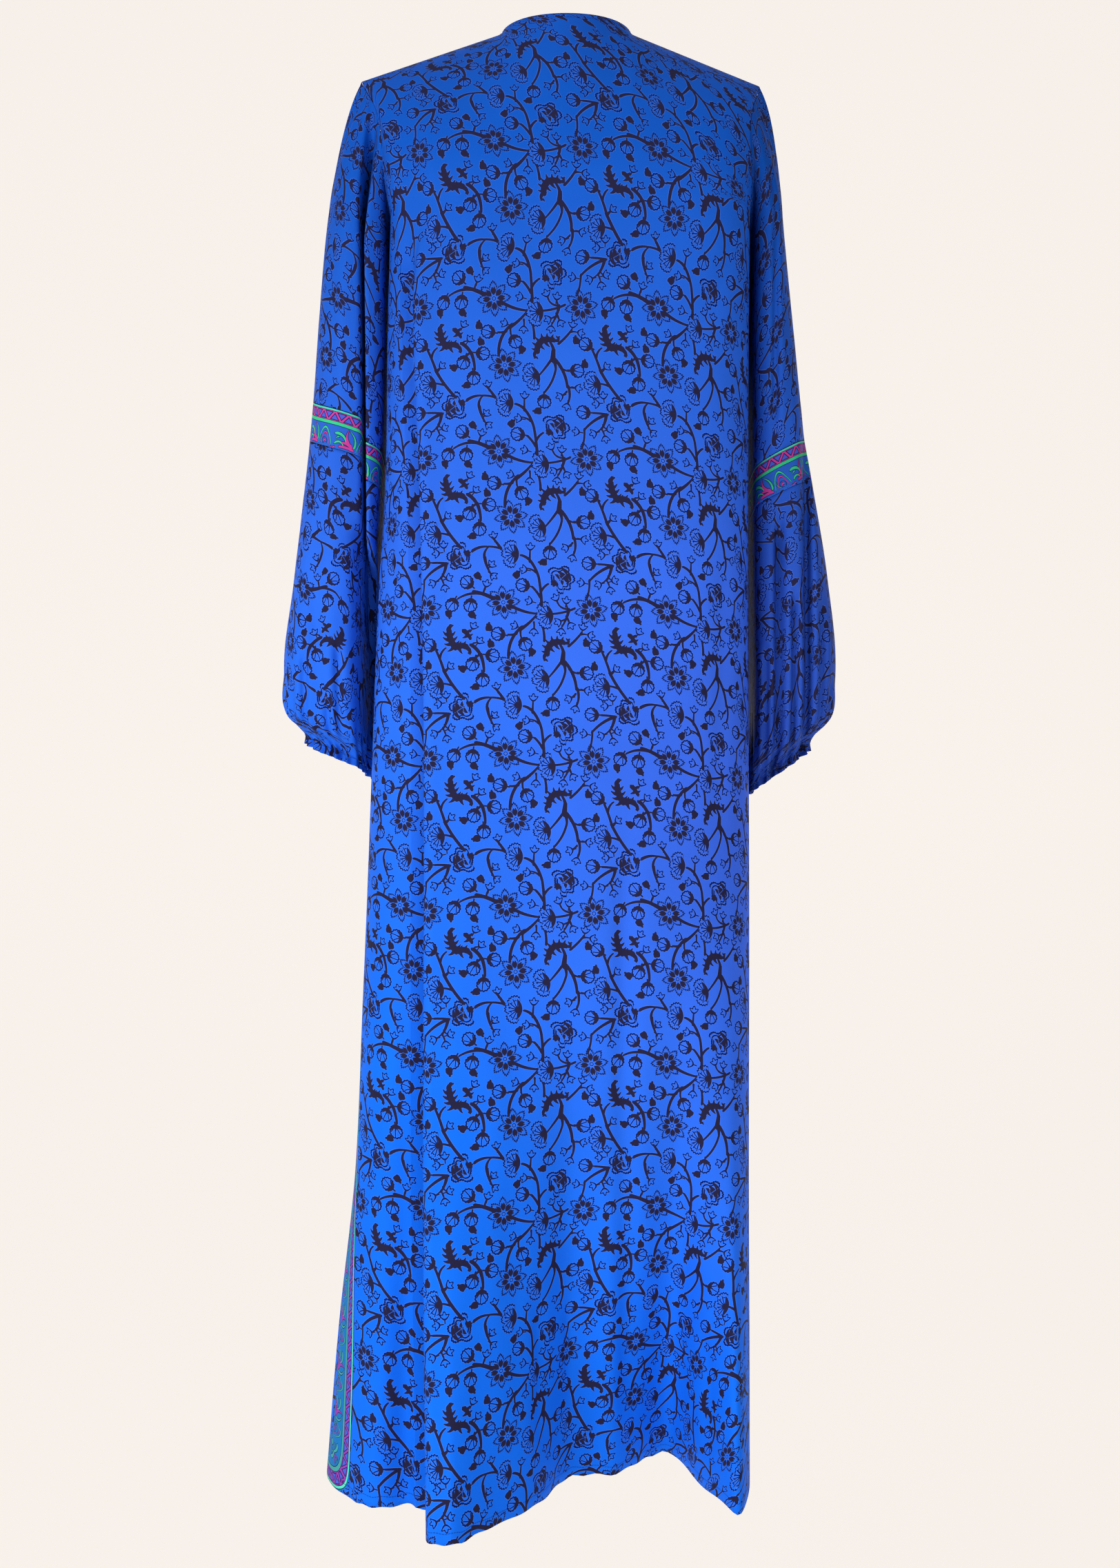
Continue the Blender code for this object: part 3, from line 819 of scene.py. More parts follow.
@dataclass
class Sleeve:
    """One long balloon sleeve: upper piece, elbow band, lower piece and gathered cuff."""

    form: BodyForm
    side: Side
    rings: tuple[Ring, ...]
    folds: tuple[SleeveFold, ...]
    thickness: float = 0.0006
    half_cells: int = 84
    dense: int = 1400
    upper_rows: int = 64
    band_rows: int = 12
    lower_rows: int = 80
    cuff_rows: int = 8
    band_top: int = 4
    band_bottom: int = 5
    cuff_top: int = 9
    cuff_edge: int = 10
    seam_gap: float = 0.0004
    fold_entry: float = 0.12
    fold_exit: float = 0.10
    deepest_fold: float = 0.75
    head_blend: float = 0.110
    head_gathers: int = 21
    head_gather_depth: float = 0.0016
    cuff_gathers: int = 25
    cuff_gather_depth: float = 0.0019
    gather_start: float = -0.560
    back_fullness: float = 0.76
    inner_fullness: float = 0.24
    level_share: float = 0.0
    level_start: Pair = (-0.14, 0.16)
    cuff_unevenness: float = 0.35
    tuck: float = 0.0055
    tuck_top: float = -0.060
    tuck_foot: float = -0.660
    tuck_in: float = 0.08
    tuck_out: float = 0.15
    tuck_behind: float = 0.004
    tuck_ease: float = 0.030
    tuck_width: float = 0.026

    def heights(self) -> tuple[Array, tuple[int, ...]]:
        """Heights of the rows from the armhole to the cuff's edge.

        Returns:
            Outer height of each row, and the row of each seam.
        """
        spans = (
            (0, self.band_top, self.upper_rows),
            (self.band_top, self.band_bottom, self.band_rows),
            (self.band_bottom, self.cuff_top, self.lower_rows),
            (self.cuff_top, self.cuff_edge, self.cuff_rows),
        )
        heights = [np.array([self.rings[0].z_out])]
        seams = [0]
        for first, last, cells in spans:
            heights.append(np.linspace(self.rings[first].z_out, self.rings[last].z_out, cells + 1)[1:])
            seams.append(seams[-1] + cells)
        return np.concatenate(heights), tuple(seams)

    def fold_depth(self, x: Array, face: Face, z_out: float) -> Array:
        """Depth of the lengthwise troughs, each a bell across that eases in and out along the sleeve.

        Args:
            x: Places across the sleeve.
            face: Back or front.
            z_out: Outer height of the ring.

        Returns:
            Depth at each place.
        """
        total = np.zeros_like(x)
        for fold in self.folds:
            if fold.face != face.value:
                continue
            length = fold.top - fold.bottom
            begun = smooth_step((fold.top - z_out) / (self.fold_entry * length))
            ended = smooth_step((z_out - fold.bottom) / (self.fold_exit * length))
            total += fold.depth * float(begun * ended) * np.exp(-(((x - fold.x) / fold.width) ** 2))
        return total

    def section(self, at: Ring, z_out: float) -> Array:
        """Plain ring from the inner side over the back to the outer side and along the front.

        Half an ellipse for each face, fuller at the back and fullest at its inner side, less the troughs,
        with its points evenly spaced in length. Its fall follows that length, and the place across by the
        level share.

        Args:
            at: Sides, middle and half depth of the ring.
            z_out: Outer height of the ring.

        Returns:
            Points of the ring.
        """
        turn = np.linspace(0.0, math.pi, self.dense)
        x = at.x_in + (at.x_out - at.x_in) * 0.5 * (1.0 - np.cos(turn))
        halves = []
        for face in Face:
            depth = np.minimum(self.fold_depth(x, face, z_out), self.deepest_fold * at.half_depth)
            inward = np.clip(np.cos(turn), 0.0, 1.0) ** 0.5
            fullness = self.back_fullness + (self.inner_fullness - self.back_fullness) * inward
            if face is Face.FRONT:
                fullness = np.ones_like(turn)
            reach = (at.half_depth - depth) * np.clip(np.sin(turn), 0.0, 1.0) ** fullness
            line = np.stack([x, at.y_mid + face.value * reach], axis=1)
            run = running_length(line, 0)
            even = np.linspace(0.0, run[-1], self.half_cells + 1)
            across = np.interp(even, run, line[:, 0])
            started = smooth_step((self.level_start[0] - z_out) / self.level_start[1])
            level_share = self.level_share * float(started)
            share = (1.0 - level_share) * even / run[-1]
            share += level_share * (across - at.x_in) / (at.x_out - at.x_in)
            fall = at.z_in + (z_out - at.z_in) * share
            halves.append(np.stack([across, np.interp(even, run, line[:, 1]), fall], axis=1))
        return np.vstack([halves[0][:-1], halves[1][:0:-1]])

    def ring(self, z_out: float) -> Array:
        """Ring with the gathers over the cuff, its front drawn in at the inner side.

        The bare numbers of its waves are waves to the turn and phases.

        Args:
            z_out: Outer height of the ring.

        Returns:
            Points of the ring.
        """
        at = Ring(*(float(read_table(self.rings, "z_out", name, z_out)) for name in Ring._fields))
        ring = self.section(at, z_out)
        centre = np.array([0.5 * (at.x_in + at.x_out), at.y_mid])
        spokes = ring[:, :2] - centre
        spokes /= np.linalg.norm(spokes, axis=1, keepdims=True)
        turns = np.linspace(0.0, 2.0 * math.pi, len(ring), endpoint=False)
        wave = np.sin(self.cuff_gathers * turns + 1.1 * np.sin(3.0 * turns) + 0.7 * np.sin(7.0 * turns))
        gather_run = self.gather_start - self.rings[self.cuff_top].z_out
        begun = smooth_step((self.gather_start - z_out) / gather_run)
        strength = 1.0 + self.cuff_unevenness * np.sin(5.0 * turns + 0.6)
        ring[:, :2] += (self.cuff_gather_depth * float(begun) ** 2 * strength * wave)[:, None] * spokes
        forward = smooth_step((at.y_mid - self.tuck_behind - ring[:, 1]) / self.tuck_ease)
        inner = smooth_step(1.0 - (ring[:, 0] - at.x_in) / self.tuck_width)
        tucked = smooth_step((self.tuck_top - z_out) / self.tuck_in)
        tucked = tucked * smooth_step((z_out - self.tuck_foot) / self.tuck_out)
        ring[:, 0] -= self.tuck * float(tucked) * forward * inner
        ring[:, 0] *= self.side.value
        return ring

    def grid(self) -> tuple[Array, tuple[int, ...]]:
        """Grid of the whole sleeve, blended out of the armhole, with gathers by the shoulder tip.

        Returns:
            Points of the grid, and the row of each seam.
        """
        heights, seams = self.heights()
        head = self.form.armhole(self.side, 2 * self.half_cells)
        count = len(head)
        around = np.arange(count) / count
        near_tip = np.clip(-np.cos(2.0 * math.pi * around), 0.0, None) ** 1.5
        uneven = 0.16 * np.sin(2.0 * math.pi * 5.0 * around)
        wave = np.sin(2.0 * math.pi * (self.head_gathers * around + uneven))
        rows = []
        for z_out in heights:
            share = float(smooth_step((self.rings[0].z_out - z_out) / self.head_blend))
            ring = head + (self.ring(z_out) - head) * share
            gather = self.head_gather_depth * 4.0 * share * (1.0 - share) * (1.0 - 0.6 * share)
            ring[:, 0] += self.side.value * gather * wave * near_tip
            ring[:, 1] += 0.5 * gather * wave * near_tip
            rows.append(ring)
        return np.array(rows), seams

    def cloth_maps(self, points: Array, first: int, last: int) -> tuple[Array, Array, Array]:
        """Maps in metres of cloth for rows of the sleeve: length around, and length down from the armhole.

        Args:
            points: Grid of the whole sleeve.
            first: First row of the piece.
            last: Last row of the piece.

        Returns:
            Print, trim and head map.
        """
        wrapped = np.concatenate([points, points[:, :1]], axis=1)
        around = running_length(wrapped, 1)
        around = around - around[:, self.half_cells:self.half_cells + 1]
        down = running_length(wrapped, 0)
        part = down[first:last + 1]
        print_map = np.stack([around[first:last + 1], -part], axis=-1)
        trim_map = np.stack([part - part[:1], part[-1:] - part], axis=-1)
        head_map = np.stack([part, around[first:last + 1]], axis=-1)
        return print_map, trim_map, head_map

    def build(self) -> dict[str, bpy.types.Object]:
        """The four pieces, each a tube of thin wall that ends half a seam gap from the next.

        Returns:
            Pieces by the name of the CAD node that each stands for.
        """
        points, seams = self.grid()
        pieces = {}
        word = self.side.name.lower()
        for number, part in enumerate(("upper_sleeve", "elbow_band", "lower_sleeve", "cuff")):
            first = seams[number]
            last = seams[number + 1]
            rows = points[first:last + 1].copy()
            if number > 0:
                rows[0, :, 2] -= 0.5 * self.seam_gap
            if number < 3:
                rows[-1, :, 2] += 0.5 * self.seam_gap
            node = f"{word}_{part}"
            maps = self.cloth_maps(points, first, last)
            pieces[node] = Shell(f"{node}_cloth", rows, self.thickness, self.side.value, True, *maps).build()
        return pieces


def opaque(colour: Colour) -> tuple[float, ...]:
    """A colour with an alpha of 1."""
    return (*colour, 1.0)


class Wires:
    """Adds nodes to one tree and joins them, so that a formula reads as calls."""

    def __init__(self, tree: Tree) -> None:
        """Keep the tree that the nodes go into."""
        self.tree = tree

    def feed(self, node: bpy.types.Node, values: dict[str | int, Value | Triple]) -> None:
        """Set or join inputs of a node.

        Args:
            node: Node that is fed.
            values: Numbers, triples or sockets by the name or number of the input.
        """
        for name, value in values.items():
            if isinstance(value, Socket):
                self.tree.links.new(value, node.inputs[name])
            else:
                node.inputs[name].default_value = value

    def add(self, kind: str, values: dict[str | int, Value | Triple], **settings: str | bool | Tree
            ) -> bpy.types.Node:
        """New node of the tree.

        Args:
            kind: Node type without its first word.
            values: Numbers, triples or sockets by the name or number of the input.
            settings: Settings of the node by name.

        Returns:
            The node.
        """
        node = self.tree.nodes.new(f"ShaderNode{kind}")
        for name, value in settings.items():
            setattr(node, name, value)
        self.feed(node, values)
        return node

    def math(self, operation: str, *values: Value, clamp: bool = False) -> Socket:
        """One sum on numbers.

        Args:
            operation: Name of the sum.
            values: Its terms.
            clamp: Whether the result is cut to the range from 0 to 1.

        Returns:
            Socket of the result.
        """
        return self.add("Math", dict(enumerate(values)), operation=operation, use_clamp=clamp).outputs[0]

    def vector(self, operation: str, *values: Value | Triple) -> Socket:
        """One sum on triples.

        Args:
            operation: Name of the sum.
            values: Its terms.

        Returns:
            Socket of the result, a number for lengths and dot products.
        """
        node = self.add("VectorMath", dict(enumerate(values)), operation=operation)
        single = operation in ("LENGTH", "DOT_PRODUCT", "DISTANCE")
        return node.outputs["Value"] if single else node.outputs["Vector"]

    # Short names for the sums that formulas use most. The ones that end in 3 work on triples.
    plus = partialmethod(math, "ADD")
    minus = partialmethod(math, "SUBTRACT")
    times = partialmethod(math, "MULTIPLY")
    fused = partialmethod(math, "MULTIPLY_ADD")
    least = partialmethod(math, "MINIMUM")
    most = partialmethod(math, "MAXIMUM")
    size = partialmethod(math, "ABSOLUTE")
    zigzag = partialmethod(math, "PINGPONG")
    fused3 = partialmethod(vector, "MULTIPLY_ADD")
    minus3 = partialmethod(vector, "SUBTRACT")
    times3 = partialmethod(vector, "MULTIPLY")
    most3 = partialmethod(vector, "MAXIMUM")
    distance = partialmethod(vector, "DISTANCE")

    def turned(self, vector: Triple, angle: Value) -> Socket:
        """A triple turned about Z by an angle in radians."""
        return self.add("VectorRotate", {"Vector": vector, "Angle": angle}, rotation_type="Z_AXIS").outputs[0]

    def split(self, vector: Triple) -> tuple[Socket, ...]:
        """The three parts of a triple."""
        return tuple(self.add("SeparateXYZ", {0: vector}).outputs)

    def total(self, vector: Triple) -> Socket:
        """Sum of the three parts of a triple."""
        return self.vector("DOT_PRODUCT", vector, (1.0, 1.0, 1.0))

    def joined(self, x: Value, y: Value, z: Value) -> Socket:
        """A triple of three numbers."""
        return self.add("CombineXYZ", {0: x, 1: y, 2: z}).outputs[0]

    def curve(self, value: Value, points: tuple[tuple[float, float], ...], handle: str = "AUTO") -> Socket:
        """A number read off a curve through given points, both between 0 and 1.

        Args:
            value: Place along the curve.
            points: Places and heights of the curve's points.
            handle: Kind of the points, AUTO for smooth and VECTOR for straight runs.

        Returns:
            Socket of the height.
        """
        node = self.add("FloatCurve", {"Factor": 1.0, "Value": value})
        line = node.mapping.curves[0]
        while len(line.points) > 2:
            line.points.remove(line.points[1])
        line.points[0].location = points[0]
        line.points[1].location = points[-1]
        for place, height in points[1:-1]:
            line.points.new(place, height)
        for point in line.points:
            point.handle_type = handle
        node.mapping.update()
        return node.outputs[0]

    def noise(self, where: Triple, scale: float, detail: float) -> Socket:
        """Smooth noise from 0 to 1, with so many lumps in each metre and so many finer layers."""
        return self.add("TexNoise", {"Scale": scale, "Detail": detail, "Vector": where}).outputs["Fac"]

    def shaded(self, colour: Triple, value: Value) -> Socket:
        """A colour made lighter or darker by a factor."""
        return self.add("HueSaturation", {"Color": colour, "Value": value}).outputs["Color"]

    def cloth_map(self, name: str) -> Socket:
        """One of the piece's cloth maps, in millimetres."""
        place = self.add("UVMap", {}, uv_map=name).outputs["UV"]
        return self.times3(place, (MILLIMETRES, MILLIMETRES, 0.0))

    def smallest(self, values: list[Value]) -> Value:
        """The smallest of several numbers."""
        return reduce(self.least, values)

    def mixed(self, share: Value, first: Triple, second: Triple) -> Socket:
        """The first colour where the share is 0 and the second where it is 1."""
        ends = [value if isinstance(value, Socket) else opaque(value) for value in (first, second)]
        return self.add("Mix", {0: share, 6: ends[0], 7: ends[1]}, data_type="RGBA").outputs[2]

    def band(self, value: Value, low: float, high: float, edge: float) -> Socket:
        """Mask of a range: 1 between two values, with soft edges of a given width."""
        off_middle = self.size(self.minus(value, 0.5 * (low + high)))
        inside = self.minus(0.5 * (high - low) + 0.5 * edge, off_middle)
        return self.math("DIVIDE", inside, edge, clamp=True)

    def below(self, value: Value, limit: float, edge: float) -> Socket:
        """Mask that is 1 where a number lies under a limit, with a soft edge."""
        return self.fused(value, -1.0 / edge, 0.5 + limit / edge, clamp=True)


def new_group(name: str, inputs: dict[str, str], outputs: dict[str, str]
              ) -> tuple[Wires, bpy.types.Node, bpy.types.Node]:
    """An empty shader node group with named sockets.

    Args:
        name: Name of the group.
        inputs: Socket types going in, by name.
        outputs: Socket types coming out, by name.

    Returns:
        Its wires, its input node and its output node.
    """
    tree = bpy.data.node_groups.new(name, "ShaderNodeTree")
    for sockets, way in ((inputs, "INPUT"), (outputs, "OUTPUT")):
        for label, kind in sockets.items():
            tree.interface.new_socket(label, in_out=way, socket_type=f"NodeSocket{kind}")
    return Wires(tree), tree.nodes.new("NodeGroupInput"), tree.nodes.new("NodeGroupOutput")


class Spot(NamedTuple):
    """Place of a motif on the chart, in chart squares right and down, and the way it points in degrees."""

    x: float
    y: float
    turn: float


class Bow(NamedTuple):
    """A bowed stroke of the chart: its ends, its height over the chord and its half width at both ends."""

    x0: float
    y0: float
    x1: float
    y1: float
    height: float
    width0: float
    width1: float


# A distance in millimetres past every shape, a lift that keeps turns over 1, and a spot and a stroke that
# show nowhere.
FAR = 50.0
TURN_LIFT = 10.0
NO_SPOT = (900.0, 900.0, 0.0)
NO_STROKE = (0.0, 0.0, 9.0, 0.0, 0.0, 9.0, 0.0, 0.0, 0.0, 1.0)
ROSETTES = tabled(Spot,
    (715, 543, 5), (1428, 588, 12), (795, 1075, 8),
)
PEONIES = tabled(Spot,
    (1185, 345, 35), (372, 165, 205),
)
CARNATIONS = tabled(Spot,
    (815, 150, 176), (1082, 640, 186), (1040, 1158, 194), (182, 1207, 188),
)
BUDS = tabled(Spot,
    (74, 207, 180), (430, 382, 140), (300, 545, 240), (448, 554, 262), (885, 403, 172), (1103, 122, 270),
    (678, 802, 170), (882, 872, 300), (610, 975, 352), (460, 1034, 248), (535, 1163, 274), (1372, 1103, 358),
    (114, 888, 150),
)
SEEDS = tabled(Spot,
    (510, 325, 320), (265, 625, 292), (458, 642, 325), (828, 318, 60), (1048, 210, 195), (595, 748, 100),
    (940, 945, 250), (608, 882, 115), (375, 1080, 160), (478, 1228, 200), (1447, 1048, 100), (30, 858, 110),
)
LEAFLETS = tabled(Spot,
    (235, 72, 95), (182, 130, 188), (650, 1238, 100), (944, 98, 86), (897, 275, 170), (622, 240, 50),
    (632, 322, 320), (148, 372, 200), (265, 335, 20), (235, 404, 282), (580, 400, 75), (935, 532, 166),
    (1145, 507, 115), (1226, 528, 82), (1165, 692, 205), (1182, 762, 262), (1255, 712, 300), (812, 735, 160),
    (958, 770, 268), (1356, 738, 80), (1412, 792, 350), (466, 742, 60), (512, 862, 50), (265, 1060, 35),
    (1240, 1315, 200), (1375, 1243, 350), (1287, 1388, 256), (8, 368, 172),
)
STEMS = tabled(Bow,
    (470, 122, 600, 88, 12, 13, 7), (590, 88, 705, 104, 5, 7, 9), (636, 10, 708, 108, 2, 8, 12),
    (604, 92, 572, 190, -16, 6, 13), (572, 175, 628, 325, -10, 14, 5), (588, 245, 616, 232, 0, 6, 4),
    (140, 208, 262, 213, 2, 8, 9), (262, 212, 60, 356, -17, 13, 8), (66, 340, 38, 505, 8, 8, 7),
    (252, 216, 204, 340, 8, 14, 7), (212, 322, 158, 366, 4, 6, 4), (206, 325, 232, 392, 0, 7, 4),
    (218, 300, 256, 338, -4, 7, 4), (864, 156, 944, 204, 8, 9, 12), (942, 118, 936, 212, 0, 6, 9),
    (934, 192, 1012, 360, 12, 12, 10), (1008, 340, 1026, 568, 4, 10, 12), (905, 262, 985, 296, 8, 4, 9),
    (950, 412, 1016, 500, 5, 9, 10), (1084, 386, 1020, 460, -8, 8, 10), (640, 512, 470, 450, -6, 17, 12),
    (530, 470, 342, 508, -17, 12, 7), (575, 412, 556, 470, -4, 6, 8), (770, 566, 985, 632, -14, 14, 8),
    (1116, 630, 1296, 578, -9, 8, 9), (1146, 520, 1246, 588, -22, 5, 9), (1224, 545, 1240, 592, 0, 5, 8),
    (1248, 588, 1185, 738, 7, 13, 5), (1222, 645, 1250, 700, 4, 8, 4), (1214, 672, 1176, 692, 0, 7, 4),
    (972, 655, 848, 764, 6, 8, 14), (868, 736, 748, 990, -34, 12, 12), (748, 806, 820, 798, -4, 8, 10),
    (852, 760, 856, 832, -4, 9, 6), (1032, 742, 1042, 855, 4, 8, 11), (1236, 892, 1350, 770, -5, 10, 8),
    (1340, 790, 1396, 790, 4, 8, 4), (960, 700, 964, 752, 0, 9, 4), (1184, 1008, 1072, 1150, 3, 11, 6),
    (1194, 1030, 1206, 1110, 6, 14, 8), (1208, 1095, 1102, 1295, 16, 9, 8),
    (1200, 1012, 1296, 1240, 22, 14, 11), (1300, 1225, 1296, 1370, 14, 12, 7),
    (1236, 1076, 1318, 1110, -7, 8, 7), (1290, 1275, 1246, 1310, 3, 9, 4), (1306, 1240, 1360, 1246, 0, 8, 4),
    (446, 885, 535, 1000, 12, 16, 12), (520, 960, 548, 1110, 8, 15, 9), (470, 1010, 520, 965, 4, 6, 10),
    (464, 874, 502, 868, 0, 7, 4), (158, 925, 225, 1110, 4, 9, 11), (215, 1085, 382, 1325, -10, 12, 12),
    (238, 905, 190, 985, -10, 6, 10), (225, 1105, 258, 1068, -3, 8, 4), (212, 1197, 305, 1222, 5, 7, 9),
)
LEAF_MASSES = tabled(Bow,
    (1062, 962, 1100, 874, 12, 22, 27), (1092, 874, 1206, 862, 10, 27, 20),
    (1206, 862, 1244, 836, -16, 17, 8), (1246, 836, 1222, 832, 6, 9, 8), (1092, 876, 1054, 844, 5, 17, 3),
    (1122, 862, 1100, 812, 6, 18, 3), (1158, 856, 1148, 808, 6, 17, 3), (1190, 852, 1198, 816, 5, 14, 3),
    (1072, 906, 1024, 886, 6, 17, 3), (1062, 938, 1018, 936, 6, 16, 3), (1066, 955, 1038, 1008, -12, 18, 10),
    (1040, 1010, 1064, 1014, 6, 9, 8), (1088, 898, 1124, 940, -6, 16, 3), (1132, 876, 1166, 918, -5, 17, 3),
    (1170, 880, 1196, 945, 4, 9, 14), (1196, 935, 1186, 1030, 0, 15, 22), (266, 768, 322, 908, -14, 24, 27),
    (266, 778, 292, 722, 14, 24, 12), (292, 722, 264, 736, -8, 10, 8), (258, 800, 218, 770, 6, 16, 3),
    (264, 838, 216, 818, 6, 17, 3), (276, 872, 226, 872, 6, 17, 3), (296, 904, 252, 932, 6, 16, 3),
    (276, 806, 318, 772, -6, 16, 3), (288, 846, 334, 814, -6, 17, 3), (306, 884, 350, 850, -6, 17, 3),
    (318, 905, 420, 905, 14, 25, 22), (400, 906, 440, 958, 12, 20, 11), (352, 916, 374, 956, -4, 15, 3),
    (350, 900, 364, 858, 4, 15, 3), (388, 898, 404, 856, 4, 15, 3), (388, 768, 444, 838, 4, 20, 12),
    (444, 766, 408, 790, 0, 8, 15), (412, 812, 378, 828, 3, 14, 3), (430, 812, 462, 798, -3, 13, 3),
    (444, 948, 424, 954, 0, 10, 9),
)


class Repeat:
    """The print's repeat: places folded back into one tile, ready for three shapes at a time.

    A tile is centred so that a shape lies wholly inside it, so there are four of them, half a tile apart.
    """

    def __init__(self, wires: Wires, place: Triple, width: float, height: float) -> None:
        """Keep the wires, the place on the cloth and the tile's size."""
        self.wires = wires
        self.place = place
        self.size = (width, height)
        self.tiles: dict[TileNumber, tuple[Socket, Socket]] = {}

    def tile(self, low: Pair, high: Pair) -> tuple[TileNumber, float, float]:
        """The tile that a box of the chart fits into, and how far the box is moved to lie in it.

        Args:
            low: Left and lower side of the box.
            high: Right and upper side of the box.

        Returns:
            Number of the tile across and up, and the move across and up.
        """
        numbers = []
        moves = []
        for axis in (0, 1):
            span = self.size[axis]
            best = (math.inf, 0, 0.0)
            for number in (0, 1):
                centre = 0.5 * number * span
                middle = 0.5 * (low[axis] + high[axis])
                move = -span * round((middle - centre) / span)
                off = abs(middle + move - centre)
                best = min(best, (off, number, move))
            numbers.append(best[1])
            moves.append(best[2])
        return (numbers[0], numbers[1]), moves[0], moves[1]

    def axes(self, tile: TileNumber) -> tuple[Socket, Socket]:
        """Place across and place up in a tile, each three times over in one triple."""
        if tile not in self.tiles:
            centre = [0.5 * tile[axis] * self.size[axis] for axis in (0, 1)]
            most = tuple(centre[axis] + 0.5 * self.size[axis] for axis in (0, 1))
            least = tuple(centre[axis] - 0.5 * self.size[axis] for axis in (0, 1))
            folded = self.wires.vector("WRAP", self.place, (*most, 1.0), (*least, -1.0))
            x, y, _ = self.wires.split(folded)
            self.tiles[tile] = (self.wires.joined(x, x, x), self.wires.joined(y, y, y))
        return self.tiles[tile]

    def threes(self, by_tile: dict[TileNumber, list[Row]], blank: Row
               ) -> Iterator[tuple[Socket, Socket, list[Triple]]]:
        """Shapes of each tile, three at a time.

        Args:
            by_tile: The numbers of each shape, by tile.
            blank: Numbers of a shape that shows nowhere, which fills up the last three.

        Yields:
            Place across, place up, and the shapes' numbers as triples.
        """
        for tile, shapes in by_tile.items():
            for start in range(0, len(shapes), 3):
                three = (shapes[start:start + 3] + [blank] * 3)[:3]
                yield *self.axes(tile), list(zip(*three))


class Motif(Wires):
    """Group of one motif, which points right: a place in millimetres goes in and two distances come out.

    The bare numbers of a motif are millimetres, and on its curves shares of a turn and of a radius.
    """

    def __init__(self, name: str) -> None:
        """Begin the group."""
        wires, start, self.end = new_group(name, {"Place": "Vector", "Away": "Float"},
                                           {"Fill": "Float", "Line": "Float"})
        super().__init__(wires.tree)
        self.flat = start.outputs["Place"]
        self.away = start.outputs["Away"]

    def done(self, fill: Value, line: Value) -> Tree:
        """Put out both distances and hand over the group."""
        self.feed(self.end, {"Fill": fill, "Line": line})
        return self.tree

    def polar(self, flat: Triple) -> tuple[Socket, Socket]:
        """Radius, far away outside the motifs, and angle from -pi to pi."""
        x, y, _ = self.split(flat)
        return self.plus(self.vector("LENGTH", flat), self.away), self.math("ARCTAN2", y, x)

    def around(self, angle: Value) -> Socket:
        """Share of the whole turn, from 0 over 0.5 on the right to 1."""
        return self.fused(angle, 0.5 / math.pi, 0.5)

    def spread(self, angle: Value) -> Socket:
        """Share of the half turn away from the right, the same on both sides."""
        return self.times(self.size(angle), 1.0 / math.pi, clamp=True)

    def teeth(self, angle: Value, half: float, start: float = math.pi) -> Socket:
        """Zigzag around the motif between 0 and half a tooth's angle."""
        return self.zigzag(self.plus(angle, start), half)

    def crescent(self, flat: Triple, tips: Pair, outer: float, inner: float) -> Socket:
        """Distance to a crescent: inside the circle of its outer bow and outside the circle of its inner bow.

        Args:
            flat: Place in the motif's frame.
            tips: X and half height of its two tips.
            outer: X of the outer bow's middle.
            inner: X of the inner bow's middle.

        Returns:
            Socket of the distance.
        """
        parts = []
        for middle, sign in ((outer, 1.0), (inner, -1.0)):
            sagitta = tips[0] - middle
            radius = (tips[1] ** 2 + sagitta ** 2) / (2.0 * sagitta)
            parts.append(self.fused(self.distance(flat, (middle + radius, 0.0, 0.0)), sign, -sign * radius))
        return self.most(*parts)

    def outline(self, radius: Value, edge: Value, half: float) -> Socket:
        """Distance to a thin line along an edge given as a radius."""
        return self.minus(self.size(self.minus(radius, edge)), half)


def rosette() -> Tree:
    """Rosette: eight serrated petals, a dark two-lobed heart in each and a light star round the eye."""
    motif = Motif("rosette")
    radius, angle = motif.polar(motif.flat)
    swing = motif.teeth(angle, math.pi / 8.0)
    phase = motif.times(swing, 8.0 / math.pi)
    petal = motif.curve(phase, ((0.0, 0.98), (0.18, 0.84), (0.24, 0.92), (0.46, 0.74), (0.52, 0.83),
                                (0.74, 0.64), (0.80, 0.71), (1.0, 0.50)), "VECTOR")
    rim = motif.outline(radius, motif.times(petal, 15.2), 0.85)
    lobe = motif.curve(phase, ((0.0, 0.55), (0.22, 0.66), (0.5, 0.58), (0.8, 0.50), (1.0, 0.40)))
    dark = motif.fused(lobe, -15.0, radius)
    off = motif.times(swing, radius)
    seam = motif.fused(radius, -math.pi / 8.0, motif.plus(off, 0.24))
    star = motif.curve(phase, ((0.0, 0.22), (0.5, 0.30), (1.0, 0.42)))
    eye = motif.fused(star, 12.0, motif.times(radius, -1.0))
    dark = motif.most(motif.most(dark, eye), seam)
    ring = motif.outline(radius, 1.5, 0.24)
    return motif.done(dark, motif.least(rim, ring))


